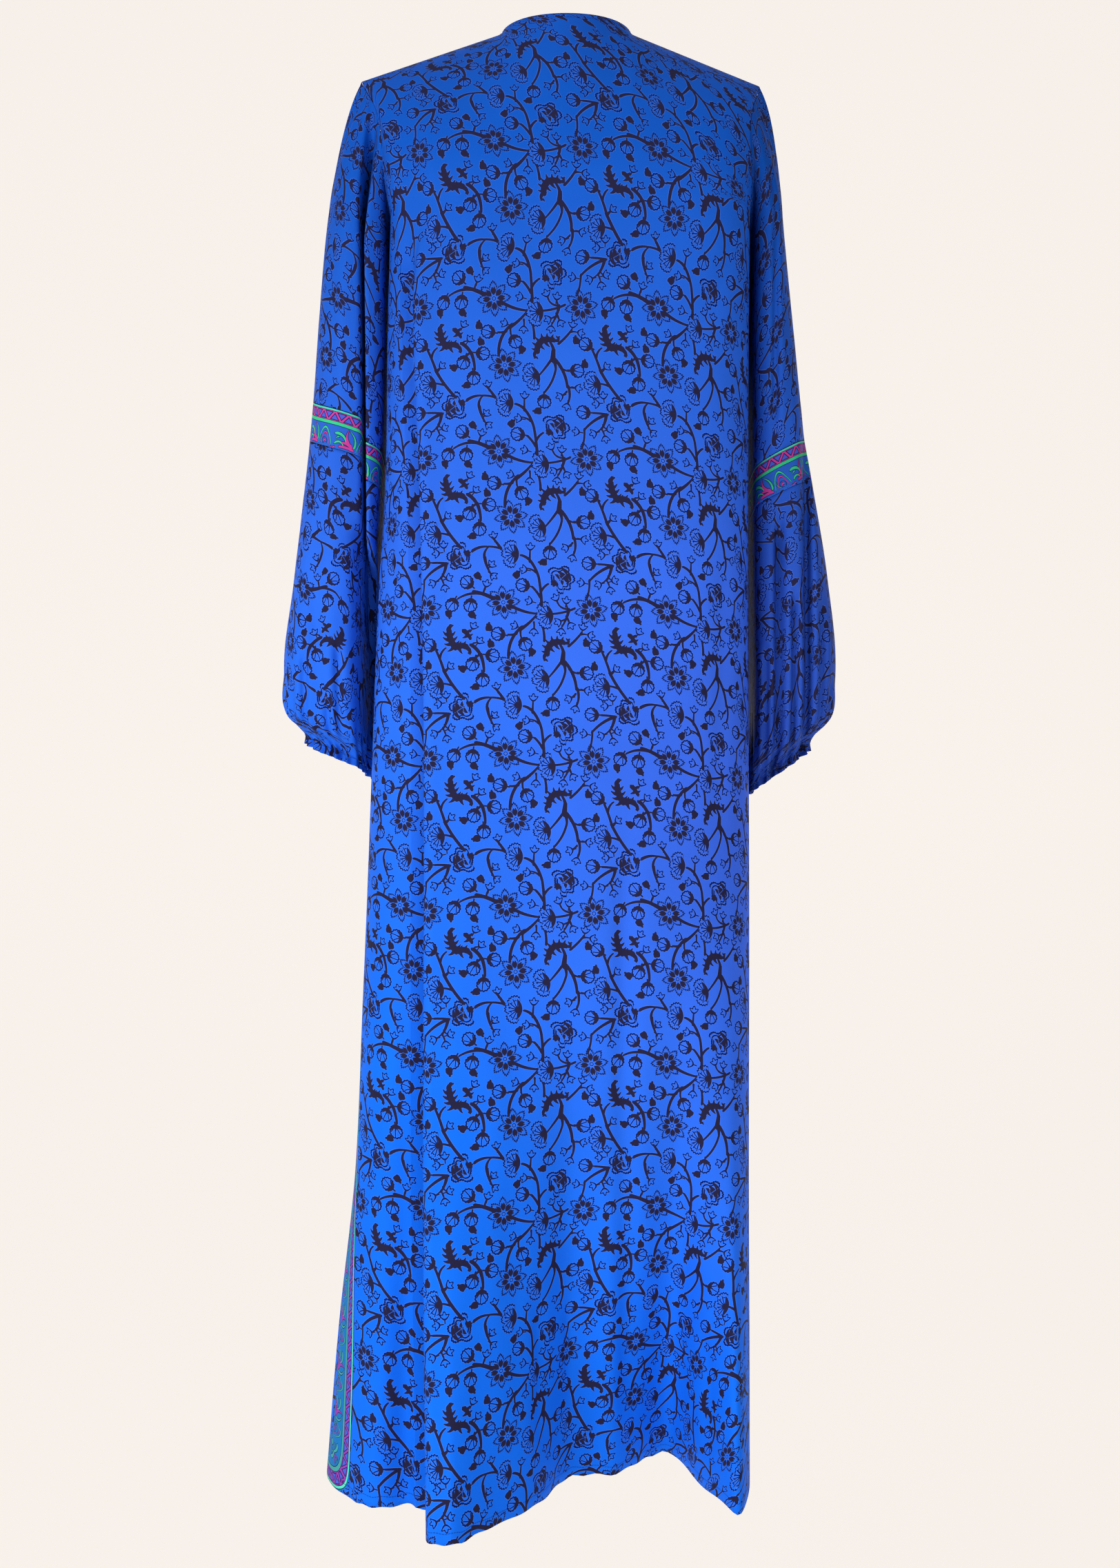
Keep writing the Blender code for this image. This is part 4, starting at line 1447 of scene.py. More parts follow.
def peony() -> Tree:
    """Peony on its side: dark cups nested towards a knot at its foot, light slashes and a ragged rim."""
    motif = Motif("peony")
    radius, angle = motif.polar(motif.flat)
    scallop = motif.curve(motif.around(angle), (
        (0.0, 0.58), (0.06, 0.50), (0.10, 0.80), (0.17, 0.98), (0.20, 0.70), (0.27, 0.88), (0.33, 0.70),
        (0.40, 0.94), (0.46, 0.86), (0.50, 0.70), (0.56, 0.96), (0.63, 0.84), (0.67, 0.70), (0.74, 0.90),
        (0.81, 0.98), (0.84, 0.66), (0.92, 0.60), (1.0, 0.58),
    ))
    teeth = motif.teeth(angle, 0.085)
    rim = motif.outline(radius, motif.fused(scallop, 12.4, motif.times(teeth, 9.0)), 0.78)
    cups = []
    for tip, half, outer, inner, drop in (
        (5.6, 7.6, 9.8, 6.4, 0.9), (1.4, 7.9, 6.2, 2.2, -0.9),
        (-2.0, 5.8, 2.2, -1.6, 0.5), (-1.2, 9.4, -5.4, -2.5, 0.0),
    ):
        turned_back = motif.fused3(motif.flat, (-1.0, -1.0, 1.0), (0.0, drop, 0.0))
        cups.append(motif.crescent(turned_back, (-tip, half), -outer, -inner))
    dark = motif.smallest(cups)
    slash = motif.teeth(angle, 0.62, 3.6)
    dark = motif.most(dark, motif.minus(0.30, motif.times(slash, radius)))
    knot = motif.minus(motif.distance(motif.flat, (-7.0, 0.2, 0.0)), 2.9)
    knot = motif.fused(motif.math("SINE", motif.times(angle, 24.0)), 0.4, knot)
    dark = motif.plus(motif.least(dark, knot), motif.away)
    inner_rim = motif.outline(radius, motif.fused(scallop, 8.4, 0.9), 0.60)
    return motif.done(dark, motif.least(rim, inner_rim))


def carnation() -> Tree:
    """Carnation: a serrated fan of three lobes with fine rays, a dark crescent and a heart behind it."""
    motif = Motif("carnation")
    radius, angle = motif.polar(motif.flat)
    spread = motif.spread(angle)
    lobes = motif.curve(spread, ((0.0, 0.86), (0.08, 0.84), (0.13, 0.68), (0.19, 0.88), (0.33, 0.96),
                                 (0.47, 0.90), (0.56, 0.60), (0.60, 0.10), (1.0, 0.02)))
    teeth = motif.teeth(angle, 0.10)
    edge = motif.fused(lobes, 12.2, motif.times(teeth, 12.0))
    rim = motif.outline(radius, edge, 0.62)
    inner = motif.outline(radius, motif.fused(edge, 0.66, 0.2), 0.40)
    tips = motif.teeth(angle, 0.27)
    inner = motif.most(inner, motif.times(motif.minus(0.13, tips), 8.0))
    rays = motif.teeth(angle, 0.22, math.pi + 0.11)
    rays = motif.minus(motif.times(rays, radius), 0.38)
    rays = motif.most(rays, motif.minus(radius, motif.times(edge, 0.80)))
    rays = motif.most(rays, motif.fused(spread, 40.0, -21.0))
    calyx = motif.crescent(motif.flat, (0.6, 8.8), -3.9, -0.6)
    heart = motif.minus(motif.distance(motif.flat, (0.0, 0.0, 0.0)), 2.7)
    dark = motif.plus(motif.least(calyx, heart), motif.away)
    return motif.done(dark, motif.smallest([rim, inner, rays]))


def bud() -> Tree:
    """Bud: a scalloped ball with three rays, a pointed dark calyx and a short stalk."""
    motif = Motif("bud")
    ball, turn = motif.polar(motif.minus3(motif.flat, (1.2, 0.0, 0.0)))
    rim = motif.outline(ball, motif.fused(motif.teeth(turn, 0.24), 3.0, 5.3), 0.60)
    x, y, _ = motif.split(motif.flat)
    from_foot, foot_turn = motif.polar(motif.minus3(motif.flat, (-4.0, 0.0, 0.0)))
    rays = motif.minus(motif.times(motif.teeth(foot_turn, 0.30), from_foot), 0.36)
    rays = motif.most(rays, motif.minus(ball, 4.6))
    calyx = motif.crescent(motif.flat, (0.4, 5.2), -5.3, -1.7)
    spear = motif.fused(motif.size(y), 2.6, motif.minus(x, 0.6))
    spear = motif.most(motif.times(spear, 0.36), motif.minus(-4.5, x))
    stalk = motif.minus(motif.size(y), 0.62)
    stalk = motif.most(stalk, motif.plus(x, 4.6))
    dark = motif.plus(motif.smallest([calyx, spear, stalk]), motif.away)
    return motif.done(dark, motif.least(rim, rays))


def seed() -> Tree:
    """Dark seed: a round body with a hooked tip."""
    motif = Motif("seed")
    radius, angle = motif.polar(motif.flat)
    edge = motif.curve(motif.around(angle), (
        (0.0, 0.62), (0.10, 0.70), (0.16, 0.60), (0.28, 0.58), (0.40, 0.60), (0.47, 0.98), (0.52, 0.74),
        (0.57, 0.78), (0.62, 0.58), (0.75, 0.62), (0.87, 0.72), (0.92, 0.60), (1.0, 0.62),
    ))
    dark = motif.fused(edge, -5.2, radius)
    return motif.done(dark, motif.plus(radius, 20.0))


def leaflet() -> Tree:
    """Three-lobed leaflet in outline, with a short stalk."""
    motif = Motif("leaflet")
    radius, angle = motif.polar(motif.flat)
    edge = motif.curve(motif.spread(angle), (
        (0.0, 1.0), (0.08, 0.78), (0.17, 0.56), (0.24, 0.62), (0.33, 0.88), (0.40, 0.70), (0.55, 0.44),
        (0.75, 0.34), (1.0, 0.34),
    ))
    rim = motif.outline(radius, motif.times(edge, 5.0), 0.62)
    x, y, _ = motif.split(motif.flat)
    stalk = motif.minus(motif.size(y), 0.45)
    stalk = motif.most(stalk, motif.plus(x, 0.8))
    dark = motif.plus(stalk, motif.away)
    dark = motif.most(dark, motif.minus(radius, 6.4))
    return motif.done(dark, rim)


@dataclass
class VinePrint:
    """Repeating vine print as shader groups: every group gets a place in millimetres and gives distances.

    The fill distance is under 0 inside the dark parts and the line distance is under 0 on the thin outlines.
    """

    square: float = 0.1086
    width: float = 147.0
    height: float = 133.6
    soft: float = 0.16
    spread: float = 0.08
    halo: tuple[float, float, float] = (0.18, 0.55, 0.25)

    def place(self, x: float, y: float) -> Pair:
        """Millimetres right and up for a place on the chart."""
        return x * self.square, -y * self.square

    def layers(self, spots: tuple[Spot, ...], reach: float) -> list[list[Spot]]:
        """Share spots out to layers, so that no two of a layer lie within each other's reach.

        Args:
            spots: Places of a motif.
            reach: Radius that the motif needs.

        Returns:
            The layers.
        """
        layers: list[list[Spot]] = []
        for spot in spots:
            for layer in layers:
                if all(self.gap(spot, other) > 2.0 * reach for other in layer):
                    layer.append(spot)
                    break
            else:
                layers.append([spot])
        return layers

    def gap(self, first: Spot, second: Spot) -> float:
        """Millimetres between two spots, taken over the edge of the tile where that is shorter."""
        across = (first.x - second.x) * self.square
        up = (first.y - second.y) * self.square
        across -= self.width * round(across / self.width)
        up -= self.height * round(up / self.height)
        return math.hypot(across, up)

    def local(self, repeat: Repeat, spots: list[Spot], reach: float) -> tuple[Socket, Socket]:
        """Place in the frame of the motif that the point lies in, turned so that the motif points right.

        Three motifs go through each sum together. A motif's own place and turn count only within its reach,
        so the sum over all of them is that of one.

        Args:
            repeat: The tiles.
            spots: Places of the motifs.
            reach: Radius that a motif needs.

        Returns:
            The flat place and a distance that is far away outside every motif.
        """
        wires = repeat.wires
        by_tile: dict[TileNumber, list[Row]] = {}
        for spot in spots:
            x, y = self.place(spot.x, spot.y)
            tile, move_x, move_y = repeat.tile((x - reach, y - reach), (x + reach, y + reach))
            turn = math.radians(-spot.turn) + TURN_LIFT
            by_tile.setdefault(tile, []).append((x + move_x, y + move_y, turn))
        sum_x: Triple = (0.0, 0.0, 0.0)
        sum_y: Triple = (0.0, 0.0, 0.0)
        sum_turn: Triple = (0.0, 0.0, 0.0)
        for across, up, (xs, ys, turns) in repeat.threes(by_tile, NO_SPOT):
            off_x = wires.minus3(across, xs)
            off_y = wires.minus3(up, ys)
            squared = wires.fused3(off_y, off_y, wires.times3(off_x, off_x))
            inside = wires.vector("SIGN", wires.minus3((reach ** 2,) * 3, squared))
            inside = wires.most3(inside, (0.0, 0.0, 0.0))
            sum_x = wires.fused3(off_x, inside, sum_x)
            sum_y = wires.fused3(off_y, inside, sum_y)
            sum_turn = wires.fused3(turns, inside, sum_turn)
        turn = wires.total(sum_turn)
        away = wires.times(wires.math("LESS_THAN", turn, 1.0), FAR)
        flat = wires.joined(wires.total(sum_x), wires.total(sum_y), 0.0)
        return wires.turned(flat, wires.minus(turn, TURN_LIFT)), away

    def strokes(self, repeat: Repeat, bows: tuple[Bow, ...]) -> Socket:
        """Distance to the nearest of many bowed strokes, three of them at a time.

        Each is the distance across its parabola less its half width, and past its ends the distance along it
        is added.

        Args:
            repeat: The tiles.
            bows: The strokes.

        Returns:
            Socket of the distance.
        """
        wires = repeat.wires
        by_tile: dict[TileNumber, list[Row]] = {}
        for bow in bows:
            x0, y0 = self.place(bow.x0, bow.y0)
            x1, y1 = self.place(bow.x1, bow.y1)
            tile, move_x, move_y = repeat.tile((min(x0, x1), min(y0, y1)), (max(x0, x1), max(y0, y1)))
            length = math.hypot(x1 - x0, y1 - y0)
            along = np.array([x1 - x0, y1 - y0]) / length
            across = np.array([-along[1], along[0]])
            rise = bow.height * self.square
            middle = np.array([0.5 * (x0 + x1) + move_x, 0.5 * (y0 + y1) + move_y]) + across * rise
            taper = (bow.width1 - bow.width0) * self.square
            half = 0.5 * (bow.width0 + bow.width1) * self.square
            row = (*(along / length), -float(along @ middle) / length, *across, -float(across @ middle),
                   4.0 * rise, taper, half, length)
            by_tile.setdefault(tile, []).append(tuple(float(value) for value in row))
        nearest: Triple = (FAR, FAR, FAR)
        for across_axis, up_axis, columns in repeat.threes(by_tile, NO_STROKE):
            run_x, run_y, run_0, side_x, side_y, side_0, bowed, taper, half, length = columns
            share = wires.fused3(across_axis, run_x, wires.fused3(up_axis, run_y, run_0))
            aside = wires.fused3(across_axis, side_x, wires.fused3(up_axis, side_y, side_0))
            squared = wires.times3(share, share)
            off = wires.vector("ABSOLUTE", wires.fused3(squared, bowed, aside))
            wide = wires.fused3(share, taper, half)
            past = wires.fused3(squared, length, tuple(-0.25 * value for value in length))
            past = wires.most3(past, (0.0, 0.0, 0.0))
            gap = wires.vector("ADD", wires.minus3(off, wide), past)
            nearest = wires.vector("MINIMUM", gap, nearest)
        return wires.smallest(list(wires.split(nearest)))

    def build(self) -> Tree:
        """The whole print: masks of the dark fills, of the thin outlines and of the light line beside them.

        Returns:
            The group, with a place in millimetres going in.
        """
        wires, start, end = new_group("vine_print", {"Place": "Vector"},
                                      {"Fill": "Float", "Line": "Float", "Halo": "Float"})
        repeat = Repeat(wires, start.outputs["Place"], self.width, self.height)
        fills = [self.strokes(repeat, STEMS + LEAF_MASSES)]
        lines = []
        for motif, spots, reach in (
            (rosette, ROSETTES, 16.5), (peony, PEONIES, 15.0), (carnation, CARNATIONS, 14.6),
            (bud, BUDS, 7.8), (seed, SEEDS, 5.6), (leaflet, LEAFLETS, 5.2),
        ):
            group = motif()
            for layer in self.layers(spots, reach):
                flat, away = self.local(repeat, layer, reach)
                node = wires.add("Group", {"Place": flat, "Away": away}, node_tree=group)
                fills.append(node.outputs["Fill"])
                lines.append(node.outputs["Line"])
        fill = wires.smallest(fills)
        line = wires.smallest(lines)
        wires.feed(end, {"Fill": wires.below(fill, self.spread, self.soft)})
        wires.feed(end, {"Line": wires.below(wires.least(line, fill), self.spread, self.soft)})
        wires.feed(end, {"Halo": wires.band(wires.least(fill, line), *self.halo)})
        return wires.tree


BAND_GREENS = tabled(Bow,
    (1.5, 31.5, 17.0, 31.5, 13.0, 1.2, 1.3), (19.5, 30.5, 24.5, 17.0, 2.6, 1.4, 0.6),
    (27.5, 28.0, 37.5, 21.5, 2.4, 1.0, 1.9), (30.0, 31.5, 38.0, 30.5, 2.2, 0.9, 1.4),
    (12.0, 33.0, 14.0, 26.5, -1.4, 0.7, 0.4), (35.0, 24.5, 37.5, 26.5, 0.5, 0.9, 0.5),
)
BAND_PINKS = tabled(Bow,
    (4.2, 32.0, 14.0, 31.5, 8.6, 1.1, 1.0), (24.0, 30.0, 26.5, 16.5, -2.2, 2.1, 0.5),
    (20.5, 33.2, 33.5, 33.2, 0.6, 1.5, 1.4), (22.5, 30.4, 31.5, 29.2, 0.8, 2.1, 1.0),
    (8.0, 30.8, 10.0, 31.2, 0.6, 1.2, 1.2), (38.5, 34.8, 42.5, 35.6, -0.5, 1.0, 0.5),
)
BAND_CURLS = tabled(Bow,
    (6.6, 33.5, 7.6, 28.2, 1.2, 0.35, 0.30), (7.6, 28.2, 12.0, 30.6, 1.4, 0.30, 0.35),
    (12.2, 30.6, 8.6, 33.6, 1.2, 0.35, 0.25),
)


@dataclass(frozen=True)
class ScrollBand:
    """Printed band: a line, triangles, a wider line and scrolls in turn with leaves, in millimetres."""

    pitch: float = 41.0
    depth: float = 36.0
    far_height: float = 400.0
    stripe: Pair = (2.4, 11.4)
    green_line: float = 3.4
    zigzag: float = 6.8
    edge: float = 0.22
    first_line: float = 0.15
    line_half: float = 0.28
    scroll_line: float = 0.30
    triangle_line: float = 0.38
    triangle_slope: float = 0.78
    triangle_half: float = 1.25
    rail_inset: float = 1.1
    mint: Colour = (0.085, 0.710, 0.500)
    violet: Colour = (0.070, 0.110, 0.600)
    ink: Colour = (0.012, 0.010, 0.085)

    def triangles(self, wires: Wires, along: Value, across: Value) -> Socket:
        """Distance to the nearest triangle of the zigzag, under 0 inside it.

        Args:
            wires: Wires of the group.
            along: Distance along the band.
            across: Distance from its first line.

        Returns:
            Socket of the distance.
        """
        low, high = self.stripe
        half = 0.5 * (high - low)
        slope = self.zigzag / (2.0 * half)
        diagonal = wires.fused(across, -slope, wires.plus(wires.zigzag(along, self.zigzag), slope * low))
        bar = wires.fused(wires.size(diagonal), -self.triangle_slope, self.triangle_half)
        rails = wires.minus(wires.size(wires.minus(across, low + half)), half - self.rail_inset)
        return wires.most(bar, rails)

    def build(self) -> Tree:
        """The band's group.

        Returns:
            The group: distances along and across and three colours go in, the colour and a mask come out.
        """
        wires, start, end = new_group(
            "scroll_band",
            {"Along": "Float", "Across": "Float", "Ground": "Color", "Green": "Color", "Pink": "Color"},
            {"Color": "Color", "Mask": "Float"},
        )
        along, across, colour, green, pink = list(start.outputs)[:5]
        low, high = self.stripe
        place = wires.joined(along, wires.times(across, -1.0), 0.0)
        chart = VinePrint(square=1.0, width=self.pitch, height=self.far_height)
        repeat = Repeat(wires, place, chart.width, chart.height)
        leaf, petal, curl = (chart.strokes(repeat, bows) for bows in (BAND_GREENS, BAND_PINKS, BAND_CURLS))
        ring = wires.minus(wires.size(wires.least(leaf, petal)), self.scroll_line)
        ring = wires.least(ring, curl)
        for shape, paint in ((leaf, green), (petal, pink), (ring, self.ink)):
            colour = wires.mixed(wires.below(shape, 0.0, self.edge), colour, paint)
        for first, last, paint in ((0.0, low, self.mint), (low, high, pink)):
            colour = wires.mixed(wires.band(across, first, last, self.edge), colour, paint)
        triangle = self.triangles(wires, along, across)
        colour = wires.mixed(wires.below(triangle, 0.0, self.edge), colour, self.violet)
        rim = wires.minus(wires.size(triangle), self.triangle_line)
        rim = wires.below(rim, 0.0, self.edge)
        rim = wires.times(rim, wires.band(across, low, high, self.edge))
        colour = wires.mixed(rim, colour, self.ink)
        last = high + self.green_line
        colour = wires.mixed(wires.band(across, high, last, self.edge), colour, green)
        for line in (self.first_line, low, high, last):
            mask = wires.band(across, line - self.line_half, line + self.line_half, self.edge)
            colour = wires.mixed(mask, colour, self.ink)
        wires.feed(end, {"Color": colour, "Mask": wires.band(across, -1.0, self.depth, 0.3)})
        return wires.tree


class Trim(Enum):
    """What is printed over the vine print."""

    NONE = "none"
    BORDER = "border"
    BAND = "band"


@dataclass(frozen=True)
class SilkPrint:
    """Printed silk-like crepe: colours, the print's place on the piece and the finish of the cloth."""

    name: str
    shift: Pair = (0.0, 0.0)
    across: float = 1.0
    trim: Trim = Trim.NONE
    stitched: bool = False
    # Painted shade: a factor on the ground and band colours, below 1 on the sleeves and lowest on the right
    # sleeve, its lower piece and cuff, away from the key light.
    tone: float = 1.0
    blue: Colour = (0.031, 0.140, 0.760)
    # Painted shade: a darker blue for the top of the dress, where less light falls.
    high_blue: Colour = (0.006, 0.086, 0.480)
    low_blue: Colour = (0.007, 0.146, 0.820)
    violet: Colour = (0.043, 0.128, 0.740)
    fill: Colour = (0.018, 0.016, 0.048)
    line: Colour = (0.004, 0.011, 0.090)
    halo: Colour = (0.120, 0.240, 0.850)
    halo_share: float = 0.35
    band_colours: tuple[Colour, ...] = ((0.026, 0.120, 0.560), (0.040, 0.560, 0.240), (0.560, 0.050, 0.290))
    border_colours: tuple[Colour, ...] = ((0.010, 0.170, 0.480), (0.050, 0.330, 0.330), (0.280, 0.050, 0.400))
    border_turn: float = 40.0
    neck_half: float = 0.061
    neck_stitch: Pair = (4.6, 5.4)
    hem_stitch: Pair = (8.6, 9.4)
    stitch_edge: float = 0.3
    stitch_length: float = 1.3
    stitch_share: float = 0.55
    stitch_height: float = -2.0
    crepe_lumps: float = 950.0
    soft_lumps: float = 42.0
    soft_height: float = 4.0
    bump_strength: float = 0.30
    bump_depth: float = 0.0004
    roughness: float = 0.50
    specular: float = 0.015

    def ground(self, wires: Wires, where: Triple) -> Socket:
        """Blue of the cloth: darker above as painted shade, clearer below, more violet at mid height on one
        side, uneven, and darkened as a whole by the painted shade factor.

        The bare numbers are the slope and the start of each blend.

        Args:
            wires: Wires of the material.
            where: Place on the dress in metres.

        Returns:
            Socket of the colour.
        """
        x, _, z = wires.split(where)
        low = wires.fused(z, -2.0, wires.fused(x, 1.5, -1.15), clamp=True)
        base = wires.mixed(low, self.blue, self.low_blue)
        right = wires.fused(x, -4.0, 0.35, clamp=True)
        middle = wires.times(right, wires.band(z, -1.0, -0.45, 0.5))
        base = wires.mixed(middle, base, self.violet)
        # Painted shade: the blue darkens towards the shoulders.
        base = wires.mixed(wires.fused(z, 2.6, 1.35, clamp=True), base, self.high_blue)
        noise = wires.noise(where, 7.0, 2.0)
        # Uneven tone from the noise, scaled by the painted shade factor.
        return wires.shaded(base, wires.fused(noise, 0.22 * self.tone, 0.89 * self.tone))

    def trimmed(self, wires: Wires, colour: Triple, print_place: Triple, band: Tree) -> Socket:
        """Colour with the band or the border laid over the print.

        Args:
            wires: Wires of the material.
            colour: Colour of the print.
            print_place: Print map in millimetres.
            band: Group of the band.

        Returns:
            Socket of the colour.
        """
        to_side, to_hem, _ = wires.split(wires.cloth_map("trim"))
        if self.trim is Trim.BORDER:
            _, run, _ = wires.split(wires.cloth_map("head"))
            by_hem = wires.math("GREATER_THAN", to_side, to_hem)
            along = wires.fused(wires.minus(run, to_hem), by_hem, to_hem)
            across = wires.math("SMOOTH_MIN", to_side, to_hem, self.border_turn)
            colours = self.border_colours
        else:
            along, _, _ = wires.split(wires.times3(print_place, (self.across, 1.0, 1.0)))
            across = to_side
            colours = self.band_colours
        values = {"Along": along, "Across": across}
        values.update(zip(("Ground", "Green", "Pink"), map(opaque, colours)))
        node = wires.add("Group", values, node_tree=band)
        # Painted shade: the band is darkened by the same factor as the ground.
        shaded = wires.shaded(node.outputs["Color"], self.tone)
        return wires.mixed(node.outputs["Mask"], colour, shaded)

    def stitches(self, wires: Wires, where: Triple) -> Socket:
        """Mask of the stitch lines: short stitches 5 mm below the neck edge and 9 mm above the hem.

        Args:
            wires: Wires of the material.
            where: Place on the dress in metres.

        Returns:
            Socket of the mask.
        """
        below_top, run, _ = wires.split(wires.cloth_map("head"))
        _, to_hem, _ = wires.split(wires.cloth_map("trim"))
        x, _, _ = wires.split(where)
        neck = wires.math("LESS_THAN", wires.size(x), self.neck_half)
        neck = wires.times(neck, wires.band(below_top, *self.neck_stitch, self.stitch_edge))
        line = wires.most(neck, wires.band(to_hem, *self.hem_stitch, self.stitch_edge))
        dash = wires.math("GREATER_THAN", wires.zigzag(run, self.stitch_length), self.stitch_edge)
        return wires.times(line, dash)

    def material(self, vine: Tree, band: Tree) -> bpy.types.Material:
        """Material whose colour follows the print map and the height.

        Args:
            vine: The print's group.
            band: The band's group.

        Returns:
            The new material.
        """
        material = bpy.data.materials.new(self.name)
        material.use_nodes = True
        tree = material.node_tree
        wires = Wires(tree)
        shader = tree.nodes["Principled BSDF"]
        where = wires.add("TexCoord", {}).outputs["Object"]
        print_place = wires.cloth_map("print")
        place = wires.fused3(print_place, (self.across, 1.0, 0.0), (*self.shift, 0.0))
        node = wires.add("Group", {"Place": place}, node_tree=vine)
        base = self.ground(wires, where)
        colour = wires.mixed(wires.times(node.outputs["Halo"], self.halo_share), base, self.halo)
        colour = wires.mixed(node.outputs["Line"], colour, self.line)
        colour = wires.mixed(node.outputs["Fill"], colour, self.fill)
        if self.trim is not Trim.NONE:
            colour = self.trimmed(wires, colour, print_place, band)
        crepe = wires.noise(where, self.crepe_lumps, 1.0)
        height = wires.fused(wires.noise(where, self.soft_lumps, 2.0), self.soft_height, crepe)
        if self.stitched:
            stitch = self.stitches(wires, where)
            colour = wires.mixed(wires.times(stitch, self.stitch_share), colour, self.line)
            height = wires.fused(stitch, self.stitch_height, height)
        bump = wires.add("Bump", {"Height": height, "Strength": self.bump_strength,
                                  "Distance": self.bump_depth})
        wires.feed(shader, {
            "Base Color": colour, "Normal": bump.outputs["Normal"], "Roughness": self.roughness,
            "Specular IOR Level": self.specular,
        })
        return material


class Lamp(NamedTuple):
    """A square area light: its name, its place, the point it faces, its side and its power in watts."""

    name: str
    place: tuple[float, float, float]
    aim: tuple[float, float, float]
    size: float
    power: float


LAMPS = (
    Lamp("key", (1.9, 2.2, -0.5), (0.0, 0.0, -0.70), 1.4, 54.0),
    Lamp("fill", (-1.0, 2.9, -1.1), (0.0, 0.0, -1.0), 1.6, 24.0),
    Lamp("top", (0.0, 0.3, 2.0), (0.0, 0.0, -0.70), 1.6, 8.0),
)


@dataclass(frozen=True)
class Studio:
    """Plain cream sweep, soft lights and the camera level behind the dress."""

    camera_place: tuple[float, float, float] = (0.0, 1.6, -0.709)
    lens: float = 38.85
    sensor: float = 36.0
    sweep_half_width: float = 5.0
    sweep_front: float = 4.0
    sweep_back: float = -3.0
    sweep_floor: float = -1.95
    sweep_height: float = 4.5
    sweep_radius: float = 1.2
    sweep_cells: int = 24
    cream: Colour = (0.947, 0.888, 0.837)
    sweep_share: float = 0.16
    sweep_glow: float = 0.87
    room: Colour = (0.95, 0.95, 1.0)
    room_strength: float = 0.42

    def sweep(self) -> None:
        """Floor that turns up into the backdrop through a quarter circle."""
        turn = np.linspace(0.0, 0.5 * math.pi, self.sweep_cells)
        curve_y = self.sweep_back + self.sweep_radius - self.sweep_radius * np.sin(turn)
        curve_z = self.sweep_floor + self.sweep_radius - self.sweep_radius * np.cos(turn)
        line_y = np.concatenate([[self.sweep_front], curve_y, [self.sweep_back]])
        line_z = np.concatenate([[self.sweep_floor], curve_z, [self.sweep_floor + self.sweep_height]])
        count = len(line_y)
        sides = (-self.sweep_half_width, self.sweep_half_width)
        points = np.vstack([np.stack([np.full(count, x), line_y, line_z], axis=1) for x in sides])
        start = np.arange(count - 1)
        faces = np.stack([start, start + 1, start + 1 + count, start + count], axis=1)
        mesh = bpy.data.meshes.new("sweep")
        mesh.from_pydata(points.tolist(), [], faces.tolist())
        mesh.shade_smooth()
        material = bpy.data.materials.new("cream_sweep")
        material.use_nodes = True
        Wires(material.node_tree).feed(material.node_tree.nodes["Principled BSDF"], {
            "Base Color": opaque(tuple(self.sweep_share * part for part in self.cream)), "Roughness": 0.9,
            "Specular IOR Level": 0.1, "Emission Color": opaque(self.cream),
            "Emission Strength": self.sweep_glow,
        })
        mesh.materials.append(material)
        linked("sweep", mesh)

    def build(self) -> None:
        """Sweep, lights, pale surroundings and camera."""
        self.sweep()
        for lamp in LAMPS:
            light = bpy.data.lights.new(lamp.name, "AREA")
            light.size = lamp.size
            light.energy = lamp.power
            piece = linked(lamp.name, light)
            piece.location = lamp.place
            x, y, z = np.array(lamp.aim) - np.array(lamp.place)
            piece.rotation_euler = (math.atan2(math.hypot(x, y), -z), 0.0, math.atan2(-x, y))
        scene = bpy.context.scene
        scene.world = bpy.data.worlds.new("pale_room")
        scene.world.use_nodes = True
        tree = scene.world.node_tree
        room = {"Color": opaque(self.room), "Strength": self.room_strength}
        Wires(tree).feed(tree.nodes["Background"], room)
        scene.view_settings.view_transform = "Standard"
        data = bpy.data.cameras.new("camera")
        data.lens = self.lens
        data.sensor_width = self.sensor
        camera = linked("camera", data)
        camera.location = self.camera_place
        camera.rotation_euler = (0.5 * math.pi, 0.0, math.pi)
        scene.camera = camera


class Cut(NamedTuple):
    """Flat cut of a piece in metres, before it is sewn, with the area of its shape and how it is held."""

    width: float
    length: float
    area: float
    held: str


CUTS = {
    "back_panel": Cut(0.66, 1.37, 0.74, "draped"),
    "front_panel": Cut(0.66, 1.37, 0.74, "draped"),
    "upper_sleeve": Cut(0.300, 0.350, 0.088, "draped"),
    "elbow_band": Cut(0.350, 0.038, 0.0133, "draped"),
    "lower_sleeve": Cut(0.380, 0.300, 0.110, "gathered"),
    "cuff": Cut(0.250, 0.0115, 0.00287, "gathered"),
}
SLOTS = {"back_panel": "back_cloth", "front_panel": "front_cloth"}


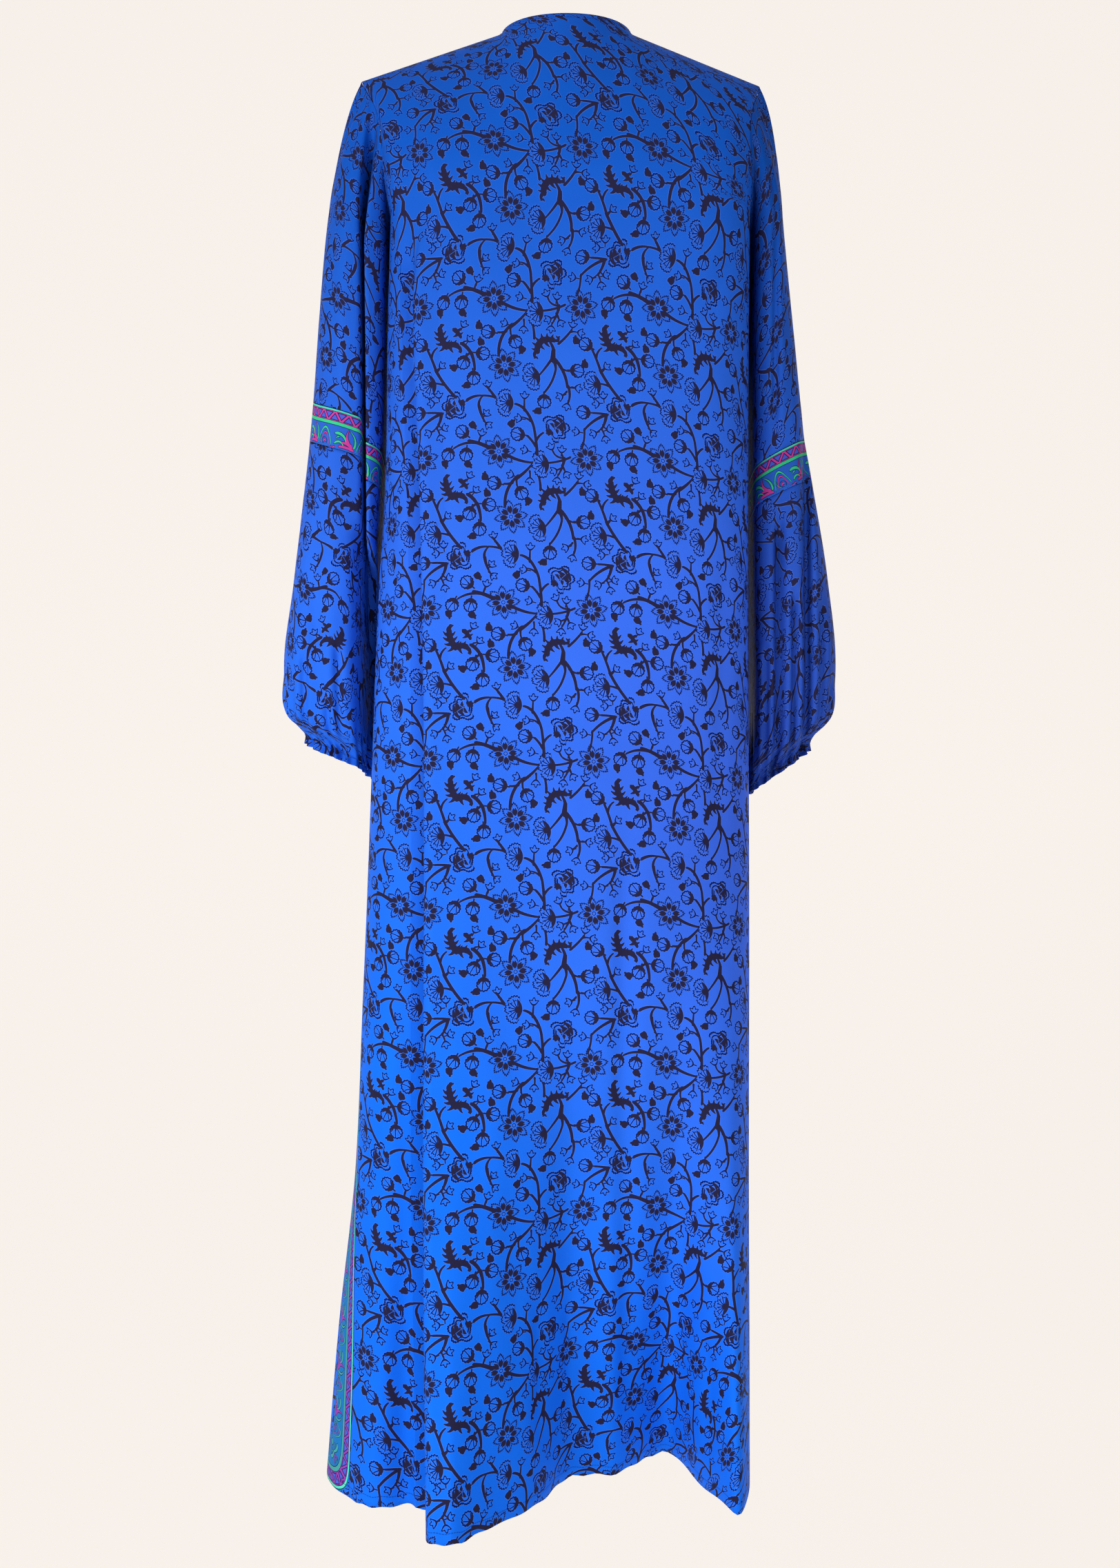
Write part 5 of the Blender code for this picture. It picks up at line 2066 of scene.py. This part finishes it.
@dataclass
class Dress:
    """The whole dress: its form, its cloth pieces and their finishes."""

    form: BodyForm = field(default_factory=BodyForm)
    pleat: BackPleat = field(default_factory=BackPleat)
    back_shift: Pair = (6.3, 358.1)
    front_shift: Pair = (64.0, 290.0)

    def build(self) -> dict[str, bpy.types.Object]:
        """Cloth pieces by the CAD node that each stands for."""
        back, front = DressBody(self.form, self.pleat).build()
        pieces = {"back_panel": back, "front_panel": front}
        pieces.update(Sleeve(self.form, Side.LEFT, LEFT_RINGS, LEFT_SLEEVE_FOLDS).build())
        right = Sleeve(self.form, Side.RIGHT, RIGHT_RINGS, RIGHT_SLEEVE_FOLDS, tuck=0.0105, level_share=0.55)
        pieces.update(right.build())
        return pieces

    def finishes(self) -> dict[str, bpy.types.Material]:
        """Material of every piece, by node."""
        vine = VinePrint().build()
        band = ScrollBand().build()
        cloths = {
            "back_panel": SilkPrint("back_silk", self.back_shift, stitched=True),
            "front_panel": SilkPrint("front_silk", self.front_shift, trim=Trim.BORDER, stitched=True),
        }
        # Painted shade: each sleeve gets darker copies of its silk, the right one darkest, and its lower
        # piece and cuff darker still.
        for word, way, tone, low_painted_shade in (("left", 1.0, 0.95, 0.93), ("right", -1.0, 0.72, 0.57)):
            sleeve = SilkPrint(f"{word}_sleeve_silk", across=way, tone=tone)
            cloths[f"{word}_upper_sleeve"] = sleeve
            cloths[f"{word}_lower_sleeve"] = replace(sleeve, name=f"{word}_low_silk", tone=low_painted_shade)
            cloths[f"{word}_elbow_band"] = replace(sleeve, name=f"{word}_band_silk", trim=Trim.BAND)
            cloths[f"{word}_cuff"] = replace(sleeve, name=f"{word}_cuff_silk", tone=0.9 * low_painted_shade)
        made: dict[SilkPrint, bpy.types.Material] = {}
        for cloth in cloths.values():
            if cloth not in made:
                made[cloth] = cloth.material(vine, band)
        return {node: made[cloth] for node, cloth in cloths.items()}

    def declare(self, node: str, piece: bpy.types.Object) -> None:
        """Args:
            node: CAD node that it stands for.
            piece: The cloth piece.
        """
        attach(piece, "root")
        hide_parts(node)
        SLOTS.get(node, f"{node}_cloth")
        cut = CUTS[node.replace("left_", "").replace("right_", "")]
        areas = np.empty(len(piece.data.polygons), dtype=np.float32)
        piece.data.polygons.foreach_get("area", areas)
        log.info("%s: %d cells, %.4f of %.4f square metres", node, len(areas), 0.5 * areas.sum(), cut.area)


def main() -> None:
    """Build and dress every piece, parent it to the root and hide its CAD part, then the studio."""
    dress = Dress()
    pieces = dress.build()
    finishes = dress.finishes()
    for node, piece in pieces.items():
        piece.data.materials.append(finishes[node])
        dress.declare(node, piece)
    Studio().build()


if __name__ == "__main__":
    logging.basicConfig(level=logging.INFO, format="%(name)s: %(message)s")
    main()
